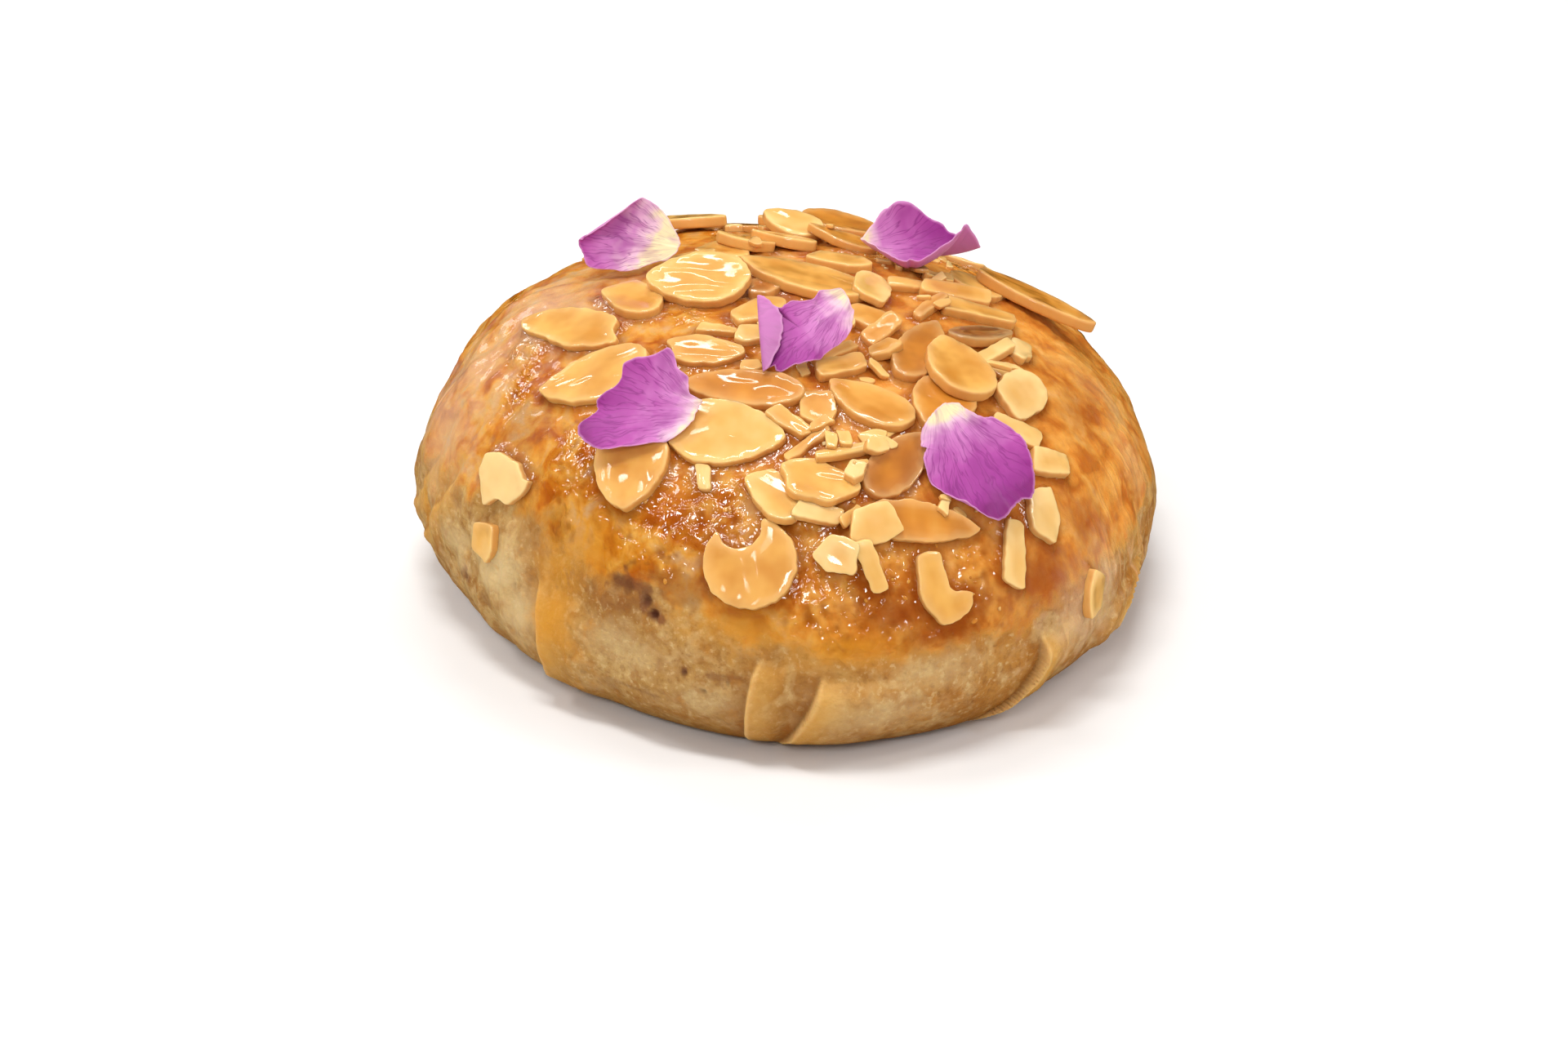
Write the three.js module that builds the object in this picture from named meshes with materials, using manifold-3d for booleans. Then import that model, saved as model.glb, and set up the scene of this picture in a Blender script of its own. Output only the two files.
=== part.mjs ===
// A pastilla: a round parcel of folded pastry, scattered with sliced almonds and five rose petals.
// Millimetres, +Z up, front towards -Y, origin at the middle of the flat base.

import * as THREE from 'three';
import { mergeVertices } from 'three/addons/utils/BufferGeometryUtils.js';
import Module from 'manifold-3d';

const wasm = await Module();
wasm.setup();

const DEG = Math.PI / 180;

// Parcel: a flat foot, an under-curve up to the waist, and a full crown above it
const PARCEL_RADIUS = 59.4;
const WAIST_HEIGHT = 13.2;
const CROWN_HEIGHT = 39;
const CROWN_LEAN = 0.1; // share by which the crown stands higher towards -X
const CROWN_SQUARENESS = 2.42;
const CROWN_FULLNESS = 2.2;
const FOOT_SHARE = 0.817; // radius of the flat foot over the parcel's radius
const FOOT_ROUNDNESS = 1.69;
const FOOT_SPAN = 0.24; // length of the under-curve over that of the crown
const LOBES = [
  { order: 2, size: 0.018, heading: -51 },
  { order: 3, size: 0.039, heading: 40 },
];
const LUMP_HEIGHT = 0.6;
const LUMP_SPACING = 8; // of the broad lumps, the fine ones being half as far apart
const SMOOTH_FOOT = 5; // height up to which the lumps fade in
const SECTORS = 80;
const CROWN_RINGS = 11;
const FOOT_RINGS = 4;

// Folds: flaps of pastry laid on the parcel, each by its free edge's heading at three heights,
// how far that edge stands proud, and how far the flap reaches to one side of it before it runs in
const FOLD_STATIONS = 6;
const FOLD_ROOT = 3; // depth to which a flap is rooted in the parcel
const FOLD_SINK = 0.9; // depth at which a flap has run in
const FOLD_FOOT = 0.8; // lowest height of any flap
const FOLD_SECTION = [
  { reach: 0, proud: 1 },
  { reach: 0.5, proud: 0.85 },
  { reach: 1, proud: 0 },
];
const FOLDS = [
  { headings: [-94, -97, -97], heights: [21, 11, FOLD_FOOT], proud: 1.2, reach: 8, side: 1 },
  { headings: [-86, -88, -93], heights: [18, 11, FOLD_FOOT], proud: 1.6, reach: 20, side: 1 },
  { headings: [-53, -54, -62], heights: [18, 9, FOLD_FOOT], proud: 1.8, reach: 9, side: 1 },
  { headings: [-49, -49, -52], heights: [19, 11, 5], proud: 0.8, reach: 14, side: 1 },
  { headings: [-137, -133, -135], heights: [23, 13, FOLD_FOOT], proud: 1.6, reach: 18, side: 1 },
  { headings: [-157, -164, -173], heights: [34, 23, 13], proud: 1.2, reach: 16, side: 1 },
  { headings: [-168, -171, -182], heights: [39, 26, 14], proud: 1.1, reach: 10, side: 1 },
  { headings: [-184, -182, -179], heights: [44, 36, 25], proud: 0.9, reach: 12, side: 1 },
  { headings: [-6, -7, -8], heights: [34, 27, 20], proud: 0.9, reach: 10, side: -1 },
  { headings: [-21, -19, -15], heights: [27, 20, 13], proud: 0.9, reach: 10, side: -1 },
  { headings: [-14, -24, -29], heights: [17, 13, 7], proud: 1.3, reach: 14, side: -1 },
];
const BACK_FOLDS = 6;
const BACK_FOLD_START = 18;
const BACK_FOLD_PITCH = 25;

// Almonds: slices about a millimetre and a half thick, bedded a little in what they lie on
const ALMOND_THICKNESS = 1.6;
const ALMOND_BEDDING = 0.35;
const STEEPEST_REST = 0.3;
const NEIGHBOUR_MARGIN = 3;
const SLICE_SIDES = 10;

// Each row: shape, place x and y, length, width, heading of its tip, and a set lean where it is propped
const ALMONDS = [
  ['slice', -0.6, 24, 10.5, 7.5, 160, [0.25, -0.35]],
  ['slice', 7.5, 20, 12, 7, 170],
  ['half', -11.3, 12, 10, 6, -40],
  ['half', -8.3, 14.5, 10, 6, 150],
  ['slice', -2, 16.5, 11, 6, 165],
  ['half', -16.5, 8.8, 9, 5, 175],
  ['half', 7, 8, 11, 5, -20],
  ['half', 29, 12, 10, 7, 150],
  ['stick', 22.5, 10, 6, 3, 20],
  ['stick', 17.2, 3.4, 7, 3, 10],
  ['slice', 38, 12.5, 21, 9, -16, [0.1, 0]],
  ['stick', 25, 4.6, 13, 4, 12],
  ['stick', 28.5, -1, 13.5, 4.5, 10],
  ['stick', 21, -3.6, 9, 2.2, 55],
  ['ragged', -34.3, -8.5, 21, 8, 139],
  ['half', -25, -5.2, 13, 8, -62],
  ['chip', -5, -3, 6, 6, 20],
  ['slice', -15, -3.5, 16.5, 12, 175, [0, -0.28]],
  ['half', 11.5, -10.5, 9, 6, -30],
  ['slice', 1.2, -0.2, 22, 11, 156],
  ['half', 11.6, -2.2, 10, 6.5, 80],
  ['half', -5.8, -11, 11, 5, 42],
  ['stick', -12, -17.3, 6.5, 2, -10],
  ['chip', -7, -18.2, 5, 5, 0],
  ['ragged', -13.8, -22, 12.5, 6.5, -15],
  ['slice', -30.3, -22, 19, 11, 170],
  ['chip', -6.6, -26.5, 4, 3, 0],
  ['slice', -24.2, -40, 14, 12, -104],
  ['slice', -10.2, -38.6, 18.5, 11.5, -15],
  ['slice', -8, -31, 19.5, 7.5, 165],
  ['shard', -44.5, -27.8, 12, 9.2, -58],
  ['chip', -47.3, -29, 6.5, 6, 30],
  ['stick', -13.6, -44.4, 5, 2.4, -88],
  ['bitten', -6.5, -55.2, 14, 14.5, 88],
  ['slice', 19, -17.2, 18, 7.5, 72],
  ['stick', 13, -14.5, 9, 3.5, 55],
  ['chip', 13.5, -20, 6, 4, 30],
  ['stick', 5.8, -21.8, 10, 2.8, 46],
  ['stick', 6.7, -25.4, 10, 4.2, 33],
  ['chip', 3.4, -35.2, 8, 6, 80],
  ['stick', 14.3, -36.8, 8, 3.2, 42],
  ['slice', 11, -33.3, 15, 9.5, 145],
  ['slice', 21.8, -29.8, 14, 10, -110],
  ['slice', 24.2, -21.4, 15, 11, 110],
  ['chip', 34.6, -8.6, 7, 4.5, 70],
  ['slice', 28.5, -9, 12, 6, 30, [0.05, -0.25]],
  ['stick', 30.2, -13.4, 10, 2.8, 50],
  ['chip', 32, -17, 5.5, 3.2, -20],
  ['half', 34, -20.8, 11, 8, 60],
  ['stick', 33.2, -28.6, 10, 4.5, 5],
  ['stick', 38, -31.2, 8, 5, 20],
  ['chip', 36.6, -39.6, 9.5, 6.5, 104],
  ['stick', 32, -47, 11, 4, 102],
  ['chip', 44.2, -39.1, 8, 5, -60],
  ['slice', 14.8, -43.1, 14.5, 7.5, 57],
  ['stick', -0.9, -38.2, 8, 3, -40],
  ['stick', 1.8, -41.7, 9, 1.8, 40],
  ['half', -3.1, -49.2, 10.5, 6, -60],
  ['stick', 3, -51.3, 8, 3.2, -5],
  ['ragged', 3.2, -47.7, 12, 8, -8],
  ['stick', 7.2, -43.2, 10, 2, 18],
  ['chip', 8.6, -46.4, 4, 3, 60],
  ['chip', 11.3, -42.4, 4, 2.6, 10],
  ['slice', 18, -49.9, 19, 6.5, 5],
  ['chip', 11.2, -51.9, 8.5, 6.5, 15],
  ['chip', 6.3, -55.3, 7, 6.2, -25],
  ['stick', 10.7, -55.6, 9, 3, -62],
  ['boot', 21.6, -54.6, 11.4, 8.6, -58],
];

// Almonds that lie out of sight behind the crown, strewn evenly with seeded variation
const BACK_SPIRAL = 110; // places on the whole spiral, of which the far side takes its share
const BACK_NEAREST = 26;
const BACK_FARTHEST = 50;
const SEED = 20;

// Petals: thin curled leaves, raised until they lie clear of what carries them
const PETAL_THICKNESS = 0.6;
const PETAL_RINGS = 4;
const PETAL_GAP = 0.3;
const PETAL_STEP = 0.25;

// Each petal is drawn flat about its middle, rolled, then tilted to face the front and one side.
// Its rim is a ring of points, right, up and how far that point stands proud, reached by a power of the
// way out, dish. curls are lines past which it rolls up: their direction, distance and radius.
const PETALS = [
  {
    at: [-26.4, 10.3], roll: -9, face: 52, side: -10, dish: 2, curls: [[125, 3.3, 0.5]],
    rim: [
      [8.2, -1.5, 0.4], [7.8, 0.3, 0.4], [6.4, 2.8, 0.8], [4.8, 4.7, 1.2], [1.9, 6.3, 1.8],
      [-1.4, 4.6, 1.6], [-5.3, 2.1, 1.8], [-7.3, 0.5, 1.6], [-8.1, 0.1, 2.2], [-7.2, -2.8, 1.4],
      [-6.1, -4.9, 1], [-2.6, -5.3, 0.6], [0.4, -5.5, 0.6], [4, -4.2, 0.2], [6.7, -3.5, 0.2],
    ],
  },
  {
    at: [19, 13.7], roll: 0, face: 20, side: 0, dish: 3, curls: [],
    rim: [
      [10.7, 0, 2], [6.6, 2.4, 2.4], [4.4, 3.9, 3.6], [1.8, 5.3, 4.7], [-1.5, 6, 6],
      [-4.4, 5.3, 5.3], [-6.3, 3.5, 4.2], [-8.4, 0.5, 3.2], [-7.6, -1, 4.2], [-5, -4, 4.7],
      [-2.1, -6.3, 4.6], [-0.9, -6.4, 5.5], [0.9, -6.4, 4.9], [4.6, -4.4, 6.3], [7.3, -2.2, 7.5],
      [8.4, -1.3, 7.6],
    ],
  },
  {
    at: [1.2, -23.6], roll: 0, face: 35, side: 0, dish: 2, curls: [[184, 6.1, 0.45]],
    rim: [
      [7.6, 1.8, 0.6], [7.3, 3.8, 0.8], [5.7, 6.7, 1], [3.1, 6.6, 1], [1.2, 4.7, 1.2],
      [-2, 4.4, 1.2], [-3.6, 3.2, 1.4], [-7.2, 5.4, 0.4], [-9.2, 4, 0.5], [-10.6, 1.3, 0.5],
      [-10.3, -1.7, 0.5], [-9.4, -4.2, 0.5], [-7, -7.6, 0.3], [-4.6, -6.6, 0.6], [-3.7, -7.4, 0.2],
      [-1.1, -6.4, 0.6], [1.6, -5.6, 0.6], [3.4, -3.7, -0.8], [6.6, -1, -0.4],
    ],
  },
  {
    at: [-22.9, -34.9], roll: -9, face: 40, side: -10, dish: 2, curls: [],
    rim: [
      [9.2, 0.6, 0.8], [7.2, 1.9, 0.8], [6.9, 4.2, 1.2], [5.4, 5.5, 1.6], [4.3, 8.4, 2.6],
      [1.3, 7.3, 2.4], [-2.5, 6.4, 2], [-3.5, 3.8, 1.2], [-6.8, 1.1, 0.2], [-6.8, -0.7, 0],
      [-9.2, -3.2, 1], [-8.6, -5.6, 1.4], [-6.3, -7.2, 1.6], [-3.2, -7.2, 1.4], [1.5, -6.4, 1],
      [5.1, -5.4, 0.6], [7.9, -2.6, 0.3], [8.5, -0.6, 0.3],
    ],
  },
  {
    at: [26.9, -41.7], roll: 9, face: 42, side: 14, dish: 2, curls: [[-117, 6.7, 0.8]],
    rim: [
      [8.2, 1.1, 0.2], [7.1, 3.7, 0.2], [5.1, 5.4, 0.3], [2.5, 6.8, 0.4], [0.6, 6.7, 0.5],
      [-1.8, 7.8, 0.6], [-2.9, 8.6, 0.6], [-5, 8.4, 0.4], [-6.8, 6.7, 0.3], [-8.2, 4.2, 0.2],
      [-8.4, 1.7, 0.2], [-7.6, 1.1, 0.2], [-8.2, -0.5, 0.2], [-6.9, -4.7, 0.2], [-5.2, -6.2, 0.2],
      [-2.4, -8, 0.2], [0.6, -9, 0.3], [3.6, -9.4, 0.6], [5.2, -7.6, 1.2], [6.6, -6.1, 1],
      [8.4, -5.4, 0.6], [8.7, -1.7, 0.2],
    ],
  },
];

const PASTRY_LOOK = { color: 0xd0924a, roughness: 0.4, metalness: 0 };
const PETAL_LOOK = { color: 0xb557b0, roughness: 0.55, metalness: 0 };

// Small helpers

function smooth(from, to, value) {
  return THREE.MathUtils.smoothstep(value, from, to);
}

function seededDraw(seed) {
  let state = seed;
  return () => {
    state = (state * 1664525 + 1013904223) % 4294967296;
    return state / 4294967296;
  };
}

const draw = seededDraw(SEED);

function between(low, high) {
  return low + (high - low) * draw();
}

// The parcel's surface. A point on it is given by (a, b): its distance from (0, 0) is 0 at the top
// of the crown, 1 at the waist and 1 + FOOT_SPAN at the rim of the foot.

function reachAt(theta) {
  const lobes = LOBES.map((lobe) => lobe.size * Math.cos(lobe.order * (theta - lobe.heading * DEG)));
  return PARCEL_RADIUS * (1 + lobes.reduce((sum, lobe) => sum + lobe, 0));
}

function barePoint(a, b) {
  const along = Math.hypot(a, b);
  const theta = Math.atan2(b, a);
  const reach = reachAt(theta);
  if (along > 1) {
    const turn = (Math.min((along - 1) / FOOT_SPAN, 1) * Math.PI) / 2;
    const inset = Math.pow(Math.max(Math.cos(turn), 0), 2 / FOOT_ROUNDNESS);
    const radius = reach * (FOOT_SHARE + (1 - FOOT_SHARE) * inset);
    const height = WAIST_HEIGHT * (1 - Math.sin(turn));
    return new THREE.Vector3(radius * Math.cos(theta), radius * Math.sin(theta), height);
  }
  const share = Math.sin((along * Math.PI) / 2);
  const x = reach * share * Math.cos(theta);
  const rise = Math.pow(1 - Math.pow(share, CROWN_SQUARENESS), 1 / CROWN_FULLNESS);
  const lean = 1 - (CROWN_LEAN * x) / PARCEL_RADIUS;
  return new THREE.Vector3(x, reach * share * Math.sin(theta), WAIST_HEIGHT + CROWN_HEIGHT * rise * lean);
}

function slopesOf(surface, a, b) {
  const step = 0.004;
  const alongA = surface(a + step, b).sub(surface(a - step, b));
  const alongB = surface(a, b + step).sub(surface(a, b - step));
  return [alongA.divideScalar(2 * step), alongB.divideScalar(2 * step)];
}

function normalOf(slopes) {
  return slopes[0].clone().cross(slopes[1]).normalize();
}

// Straight out from the surface, but never downwards, so that nothing is pushed below the foot
function outwardAt(a, b) {
  const outward = normalOf(slopesOf(barePoint, a, b));
  outward.z = Math.max(outward.z, 0);
  return outward.normalize();
}

function lumps(point) {
  const { x, y, z } = point.clone().divideScalar(LUMP_SPACING);
  const broad = Math.sin(0.9 * x + 1.1 * z) * Math.cos(y - 1);
  const fine = Math.sin(1.9 * y + 2) * Math.cos(1.6 * x - 2 * z);
  return LUMP_HEIGHT * (broad + fine / 2) * smooth(0, SMOOTH_FOOT, point.z);
}

function skin(a, b) {
  const point = barePoint(a, b);
  return point.addScaledVector(outwardAt(a, b), lumps(point));
}

// Parcel solid: rings from the crown down to the rim of the foot, closed by a flat base

function ringPlaces() {
  const crown = Array.from({ length: CROWN_RINGS }, (_, index) => (index + 1) / CROWN_RINGS);
  const foot = Array.from({ length: FOOT_RINGS }, (_, index) => 1 + (FOOT_SPAN * (index + 1)) / FOOT_RINGS);
  return [...crown, ...foot];
}

function parcelGeometry() {
  const places = ringPlaces();
  const points = [skin(0, 0)];
  for (const along of places) {
    for (let sector = 0; sector < SECTORS; sector += 1) {
      const theta = (sector / SECTORS) * 2 * Math.PI;
      points.push(skin(along * Math.cos(theta), along * Math.sin(theta)));
    }
  }
  points.push(new THREE.Vector3(0, 0, 0));
  const faces = [];
  const at = (ring, sector) => 1 + ring * SECTORS + (sector % SECTORS);
  const last = places.length - 1;
  for (let sector = 0; sector < SECTORS; sector += 1) {
    faces.push(0, at(0, sector), at(0, sector + 1));
    faces.push(points.length - 1, at(last, sector + 1), at(last, sector));
    for (let ring = 0; ring < last; ring += 1) {
      faces.push(at(ring, sector), at(ring + 1, sector), at(ring + 1, sector + 1));
      faces.push(at(ring, sector), at(ring + 1, sector + 1), at(ring, sector + 1));
    }
  }
  return new THREE.BufferGeometry().setFromPoints(points).setIndex(faces);
}

// Flap solids: a grid of stations down the edge and across the section, closed by a copy in the parcel

function backFolds() {
  return Array.from({ length: BACK_FOLDS }, (_, index) => {
    const heading = BACK_FOLD_START + BACK_FOLD_PITCH * index + between(-6, 6);
    const top = between(18, 34);
    return {
      headings: [heading, heading + between(-4, 4), heading + between(-8, 2)],
      heights: [top, top / 2, FOLD_FOOT],
      proud: between(0.9, 1.6),
      reach: between(10, 16),
      side: index % 2 ? 1 : -1,
    };
  });
}

// Quadratic through the fold's three points gives the heading of its edge at any height
function edgeHeading(fold, z) {
  const [top, middle, foot] = fold.heights;
  const atTop = ((z - middle) * (z - foot)) / ((top - middle) * (top - foot));
  const atMiddle = ((z - top) * (z - foot)) / ((middle - top) * (middle - foot));
  const atFoot = ((z - top) * (z - middle)) / ((foot - top) * (foot - middle));
  return fold.headings[0] * atTop + fold.headings[1] * atMiddle + fold.headings[2] * atFoot;
}

function placeAtHeight(theta, z) {
  let [above, below] = [0, 1 + FOOT_SPAN];
  for (let pass = 0; pass < 30; pass += 1) {
    const middle = (above + below) / 2;
    if (barePoint(middle * Math.cos(theta), middle * Math.sin(theta)).z > z) above = middle;
    else below = middle;
  }
  return [above * Math.cos(theta), above * Math.sin(theta)];
}

// Both faces of a flap, its proud edge running in at the top end
function flapFaces(fold) {
  const [top, , foot] = fold.heights;
  const upper = [];
  const lower = [];
  for (let station = 0; station < FOLD_STATIONS; station += 1) {
    const down = station / (FOLD_STATIONS - 1);
    const z = top + (foot - top) * down;
    const strength = (fold.proud + FOLD_SINK) * smooth(0, 0.4, down);
    for (const { reach, proud } of FOLD_SECTION) {
      const theta = edgeHeading(fold, z) * DEG + (fold.side * reach * fold.reach) / PARCEL_RADIUS;
      const place = placeAtHeight(theta, z);
      const outward = outwardAt(...place);
      upper.push(skin(...place).addScaledVector(outward, strength * proud - FOLD_SINK));
      lower.push(skin(...place).addScaledVector(outward, -FOLD_ROOT));
    }
  }
  return { upper, lower };
}

function flapGeometry(fold) {
  const { upper, lower } = flapFaces(fold);
  const wide = FOLD_SECTION.length;
  const faces = [];
  const quad = (i, j, k, l) => {
    const order = fold.side > 0 ? [i, j, k, i, k, l] : [i, k, j, i, l, k];
    faces.push(...order);
  };
  const under = (index) => index + upper.length;
  const wall = (i, j) => quad(i, under(i), under(j), j);
  for (let station = 0; station + 1 < FOLD_STATIONS; station += 1) {
    const row = station * wide;
    for (let column = 0; column + 1 < wide; column += 1) {
      const corner = row + column;
      quad(corner, corner + wide, corner + wide + 1, corner + 1);
      quad(under(corner), under(corner + 1), under(corner + wide + 1), under(corner + wide));
    }
    wall(row, row + wide);
    wall(row + 2 * wide - 1, row + wide - 1);
  }
  for (let column = 0; column + 1 < wide; column += 1) {
    const foot = (FOLD_STATIONS - 1) * wide + column;
    wall(column + 1, column);
    wall(foot, foot + 1);
  }
  return new THREE.BufferGeometry().setFromPoints([...upper, ...lower]).setIndex(faces);
}

// Almond outlines, counter-clockwise, with the tip or the whole end towards +X

function ring(count, place) {
  return Array.from({ length: count }, (_, index) => place((index / count) * 2 * Math.PI));
}

function sliceOutline(length, width) {
  return ring(SLICE_SIDES, (turn) => {
    const taper = 1.15 * Math.sqrt(Math.sin(turn / 2));
    return new THREE.Vector2((length / 2) * Math.cos(turn), (width / 2) * Math.sin(turn) * taper);
  });
}

function halfOutline(length, width) {
  const end = Array.from({ length: 7 }, (_, index) => (-80 + (160 * index) / 6) * DEG);
  const round = end.map((turn) => {
    return new THREE.Vector2(length * (0.05 + 0.45 * Math.cos(turn)), (width / 2) * Math.sin(turn));
  });
  const nearBreak = new THREE.Vector2(-0.5 * length, -0.42 * width);
  const farBreak = new THREE.Vector2(-0.4 * length, 0.44 * width);
  return [nearBreak, ...round, farBreak];
}

function stickOutline(length, width) {
  return [
    new THREE.Vector2(-0.5 * length, -0.5 * width),
    new THREE.Vector2(0.5 * length - 0.2 * width, -0.45 * width),
    new THREE.Vector2(0.5 * length, 0.4 * width),
    new THREE.Vector2(-0.5 * length + 0.3 * width, 0.5 * width),
  ];
}

function chipOutline(length, width) {
  return [
    new THREE.Vector2(-0.5 * length, -0.3 * width),
    new THREE.Vector2(-0.05 * length, -0.5 * width),
    new THREE.Vector2(0.5 * length, -0.25 * width),
    new THREE.Vector2(0.3 * length, 0.5 * width),
    new THREE.Vector2(-0.35 * length, 0.4 * width),
  ];
}

function raggedOutline(length, width) {
  return ring(11, (turn) => {
    const reach = 0.5 * (1 + 0.1 * Math.sin(3 * turn + 1) + 0.1 * Math.sin(5 * turn));
    return new THREE.Vector2(length * reach * Math.cos(turn), width * reach * Math.sin(turn));
  });
}

function bittenOutline(length, width) {
  const outer = Array.from({ length: 12 }, (_, index) => {
    const turn = (42 + (304 * index) / 11) * DEG;
    return new THREE.Vector2((length / 2) * Math.cos(turn), (width / 2) * Math.sin(turn));
  });
  const bite = Array.from({ length: 4 }, (_, index) => {
    const turn = (-107 - 40 * index) * DEG;
    const across = width * (0.11 + 0.24 * Math.sin(turn));
    return new THREE.Vector2(length * (0.385 + 0.25 * Math.cos(turn)), across);
  });
  return [...outer, ...bite];
}

function bootOutline(length, width) {
  return [
    new THREE.Vector2(-0.5 * length, -0.3 * width),
    new THREE.Vector2(0.1 * length, -0.5 * width),
    new THREE.Vector2(0.5 * length, -0.25 * width),
    new THREE.Vector2(0.46 * length, 0.28 * width),
    new THREE.Vector2(0.22 * length, 0.5 * width),
    new THREE.Vector2(0.08 * length, 0.08 * width),
    new THREE.Vector2(-0.45 * length, 0.16 * width),
  ];
}

function shardOutline(length, width) {
  return [
    new THREE.Vector2(-0.45 * length, -0.03 * width),
    new THREE.Vector2(-0.16 * length, -0.5 * width),
    new THREE.Vector2(0, -0.27 * width),
    new THREE.Vector2(0.25 * length, -0.23 * width),
    new THREE.Vector2(0.45 * length, 0.04 * width),
    new THREE.Vector2(0.5 * length, 0.35 * width),
    new THREE.Vector2(0.37 * length, 0.3 * width),
    new THREE.Vector2(0.18 * length, 0.48 * width),
    new THREE.Vector2(-0.28 * length, 0.44 * width),
    new THREE.Vector2(-0.5 * length, 0.3 * width),
  ];
}

const OUTLINES = {
  slice: sliceOutline,
  half: halfOutline,
  stick: stickOutline,
  chip: chipOutline,
  ragged: raggedOutline,
  bitten: bittenOutline,
  boot: bootOutline,
  shard: shardOutline,
};

// Seating an almond: a plane is let down on the parcel and on the almonds already there until it rests

function surfacePlace(x, y) {
  const theta = Math.atan2(y, x);
  const share = Math.min(Math.hypot(x, y) / reachAt(theta), 1);
  const along = (Math.asin(share) * 2) / Math.PI;
  return [along * Math.cos(theta), along * Math.sin(theta)];
}

function seatFrame(x, y, heading) {
  const [a, b] = surfacePlace(x, y);
  const slopes = slopesOf(skin, a, b);
  const up = normalOf(slopesOf(barePoint, a, b));
  const theta = Math.atan2(y, x);
  const around = new THREE.Vector3(-Math.sin(theta), Math.cos(theta), 0);
  around.addScaledVector(up, -around.dot(up)).normalize();
  const outward = around.clone().cross(up);
  const turn = heading * DEG - theta;
  const along = outward.multiplyScalar(Math.cos(turn)).addScaledVector(around, Math.sin(turn));
  const across = up.clone().cross(along);
  return { a, b, slopes, up, along, across, origin: skin(a, b) };
}

// Height of the parcel over the seat's plane at (u, v), found by stepping across the surface
function parcelHeight(seat, u, v) {
  const { slopes, along, across, origin, up } = seat;
  const [ua, ub] = [slopes[0].dot(along), slopes[1].dot(along)];
  const [va, vb] = [slopes[0].dot(across), slopes[1].dot(across)];
  const area = ua * vb - ub * va;
  let { a, b } = seat;
  let reached = origin.clone();
  for (let pass = 0; pass < 5; pass += 1) {
    const offset = reached.sub(origin);
    const du = u - offset.dot(along);
    const dv = v - offset.dot(across);
    a += (vb * du - ub * dv) / area;
    b += (ua * dv - va * du) / area;
    reached = skin(a, b);
  }
  return reached.sub(origin).dot(up);
}

function inside(outline, u, v) {
  let crossings = 0;
  outline.forEach((from, index) => {
    const to = outline[(index + 1) % outline.length];
    if (from.y > v === to.y > v) return;
    if (u < from.x + ((v - from.y) / (to.y - from.y)) * (to.x - from.x)) crossings += 1;
  });
  return crossings % 2 === 1;
}

// Height of a seated almond's upper face over another seat's plane, or -Infinity beside it
function almondHeight(almond, seat, u, v) {
  const start = seat.origin.clone().addScaledVector(seat.along, u).addScaledVector(seat.across, v);
  const rate = seat.up.dot(almond.up);
  if (rate < 0.3) return -Infinity;
  const height = almond.top.clone().sub(start).dot(almond.up) / rate;
  const hit = start.addScaledVector(seat.up, height).sub(almond.top);
  return inside(almond.outline, hit.dot(almond.along), hit.dot(almond.across)) ? height : -Infinity;
}

function samplePlaces(outline) {
  const inner = outline.map((point) => point.clone().multiplyScalar(0.5));
  return [...outline, ...inner, new THREE.Vector2(0, 0)];
}

function restHeight(supports, slopeU, slopeV) {
  return Math.max(...supports.map((s) => s.height - slopeU * s.u - slopeV * s.v));
}

// The lowest middle height over all tilts is the tilt at which the piece comes to rest
function restTilt(supports) {
  let best = { slopeU: 0, slopeV: 0, height: restHeight(supports, 0, 0) };
  for (let step = 0.2; step > 0.004; step /= 2) {
    let moved = true;
    while (moved) {
      moved = false;
      for (const [du, dv] of [[1, 0], [-1, 0], [0, 1], [0, -1], [1, 1], [-1, -1], [1, -1], [-1, 1]]) {
        const slopeU = best.slopeU + du * step;
        const slopeV = best.slopeV + dv * step;
        const height = restHeight(supports, slopeU, slopeV);
        if (Math.hypot(slopeU, slopeV) > STEEPEST_REST || height > best.height - 1e-6) continue;
        best = { slopeU, slopeV, height };
        moved = true;
      }
    }
  }
  return best;
}

function seatAlmond([shape, x, y, length, width, heading, lean], seated) {
  const outline = OUTLINES[shape](length, width);
  const seat = seatFrame(x, y, heading);
  const near = seated.filter((other) => {
    return other.top.distanceTo(seat.origin) < (length + other.length) / 2 + NEIGHBOUR_MARGIN;
  });
  const supports = samplePlaces(outline).map(({ x: u, y: v }) => {
    const heights = near.map((other) => almondHeight(other, seat, u, v));
    return { u, v, height: Math.max(parcelHeight(seat, u, v), ...heights) };
  });
  const rest = restTilt(supports);
  if (lean) {
    [rest.slopeU, rest.slopeV] = lean;
    rest.height = restHeight(supports, ...lean);
  }
  const up = seat.up.clone();
  up.addScaledVector(seat.along, -rest.slopeU).addScaledVector(seat.across, -rest.slopeV).normalize();
  const along = seat.along.clone().addScaledVector(up, -seat.along.dot(up)).normalize();
  const across = up.clone().cross(along);
  const base = seat.origin.clone().addScaledVector(seat.up, rest.height);
  base.addScaledVector(up, -ALMOND_BEDDING);
  const top = base.clone().addScaledVector(up, ALMOND_THICKNESS);
  return { outline, length, up, along, across, base, top };
}

function almondGeometry(almond) {
  const shape = new THREE.Shape(almond.outline);
  const geometry = new THREE.ExtrudeGeometry(shape, { depth: ALMOND_THICKNESS, bevelEnabled: false });
  const placing = new THREE.Matrix4().makeBasis(almond.along, almond.across, almond.up);
  return geometry.applyMatrix4(placing.setPosition(almond.base));
}

// Rows for the far side, on a spiral from the rim inwards so that they spread evenly

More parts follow.
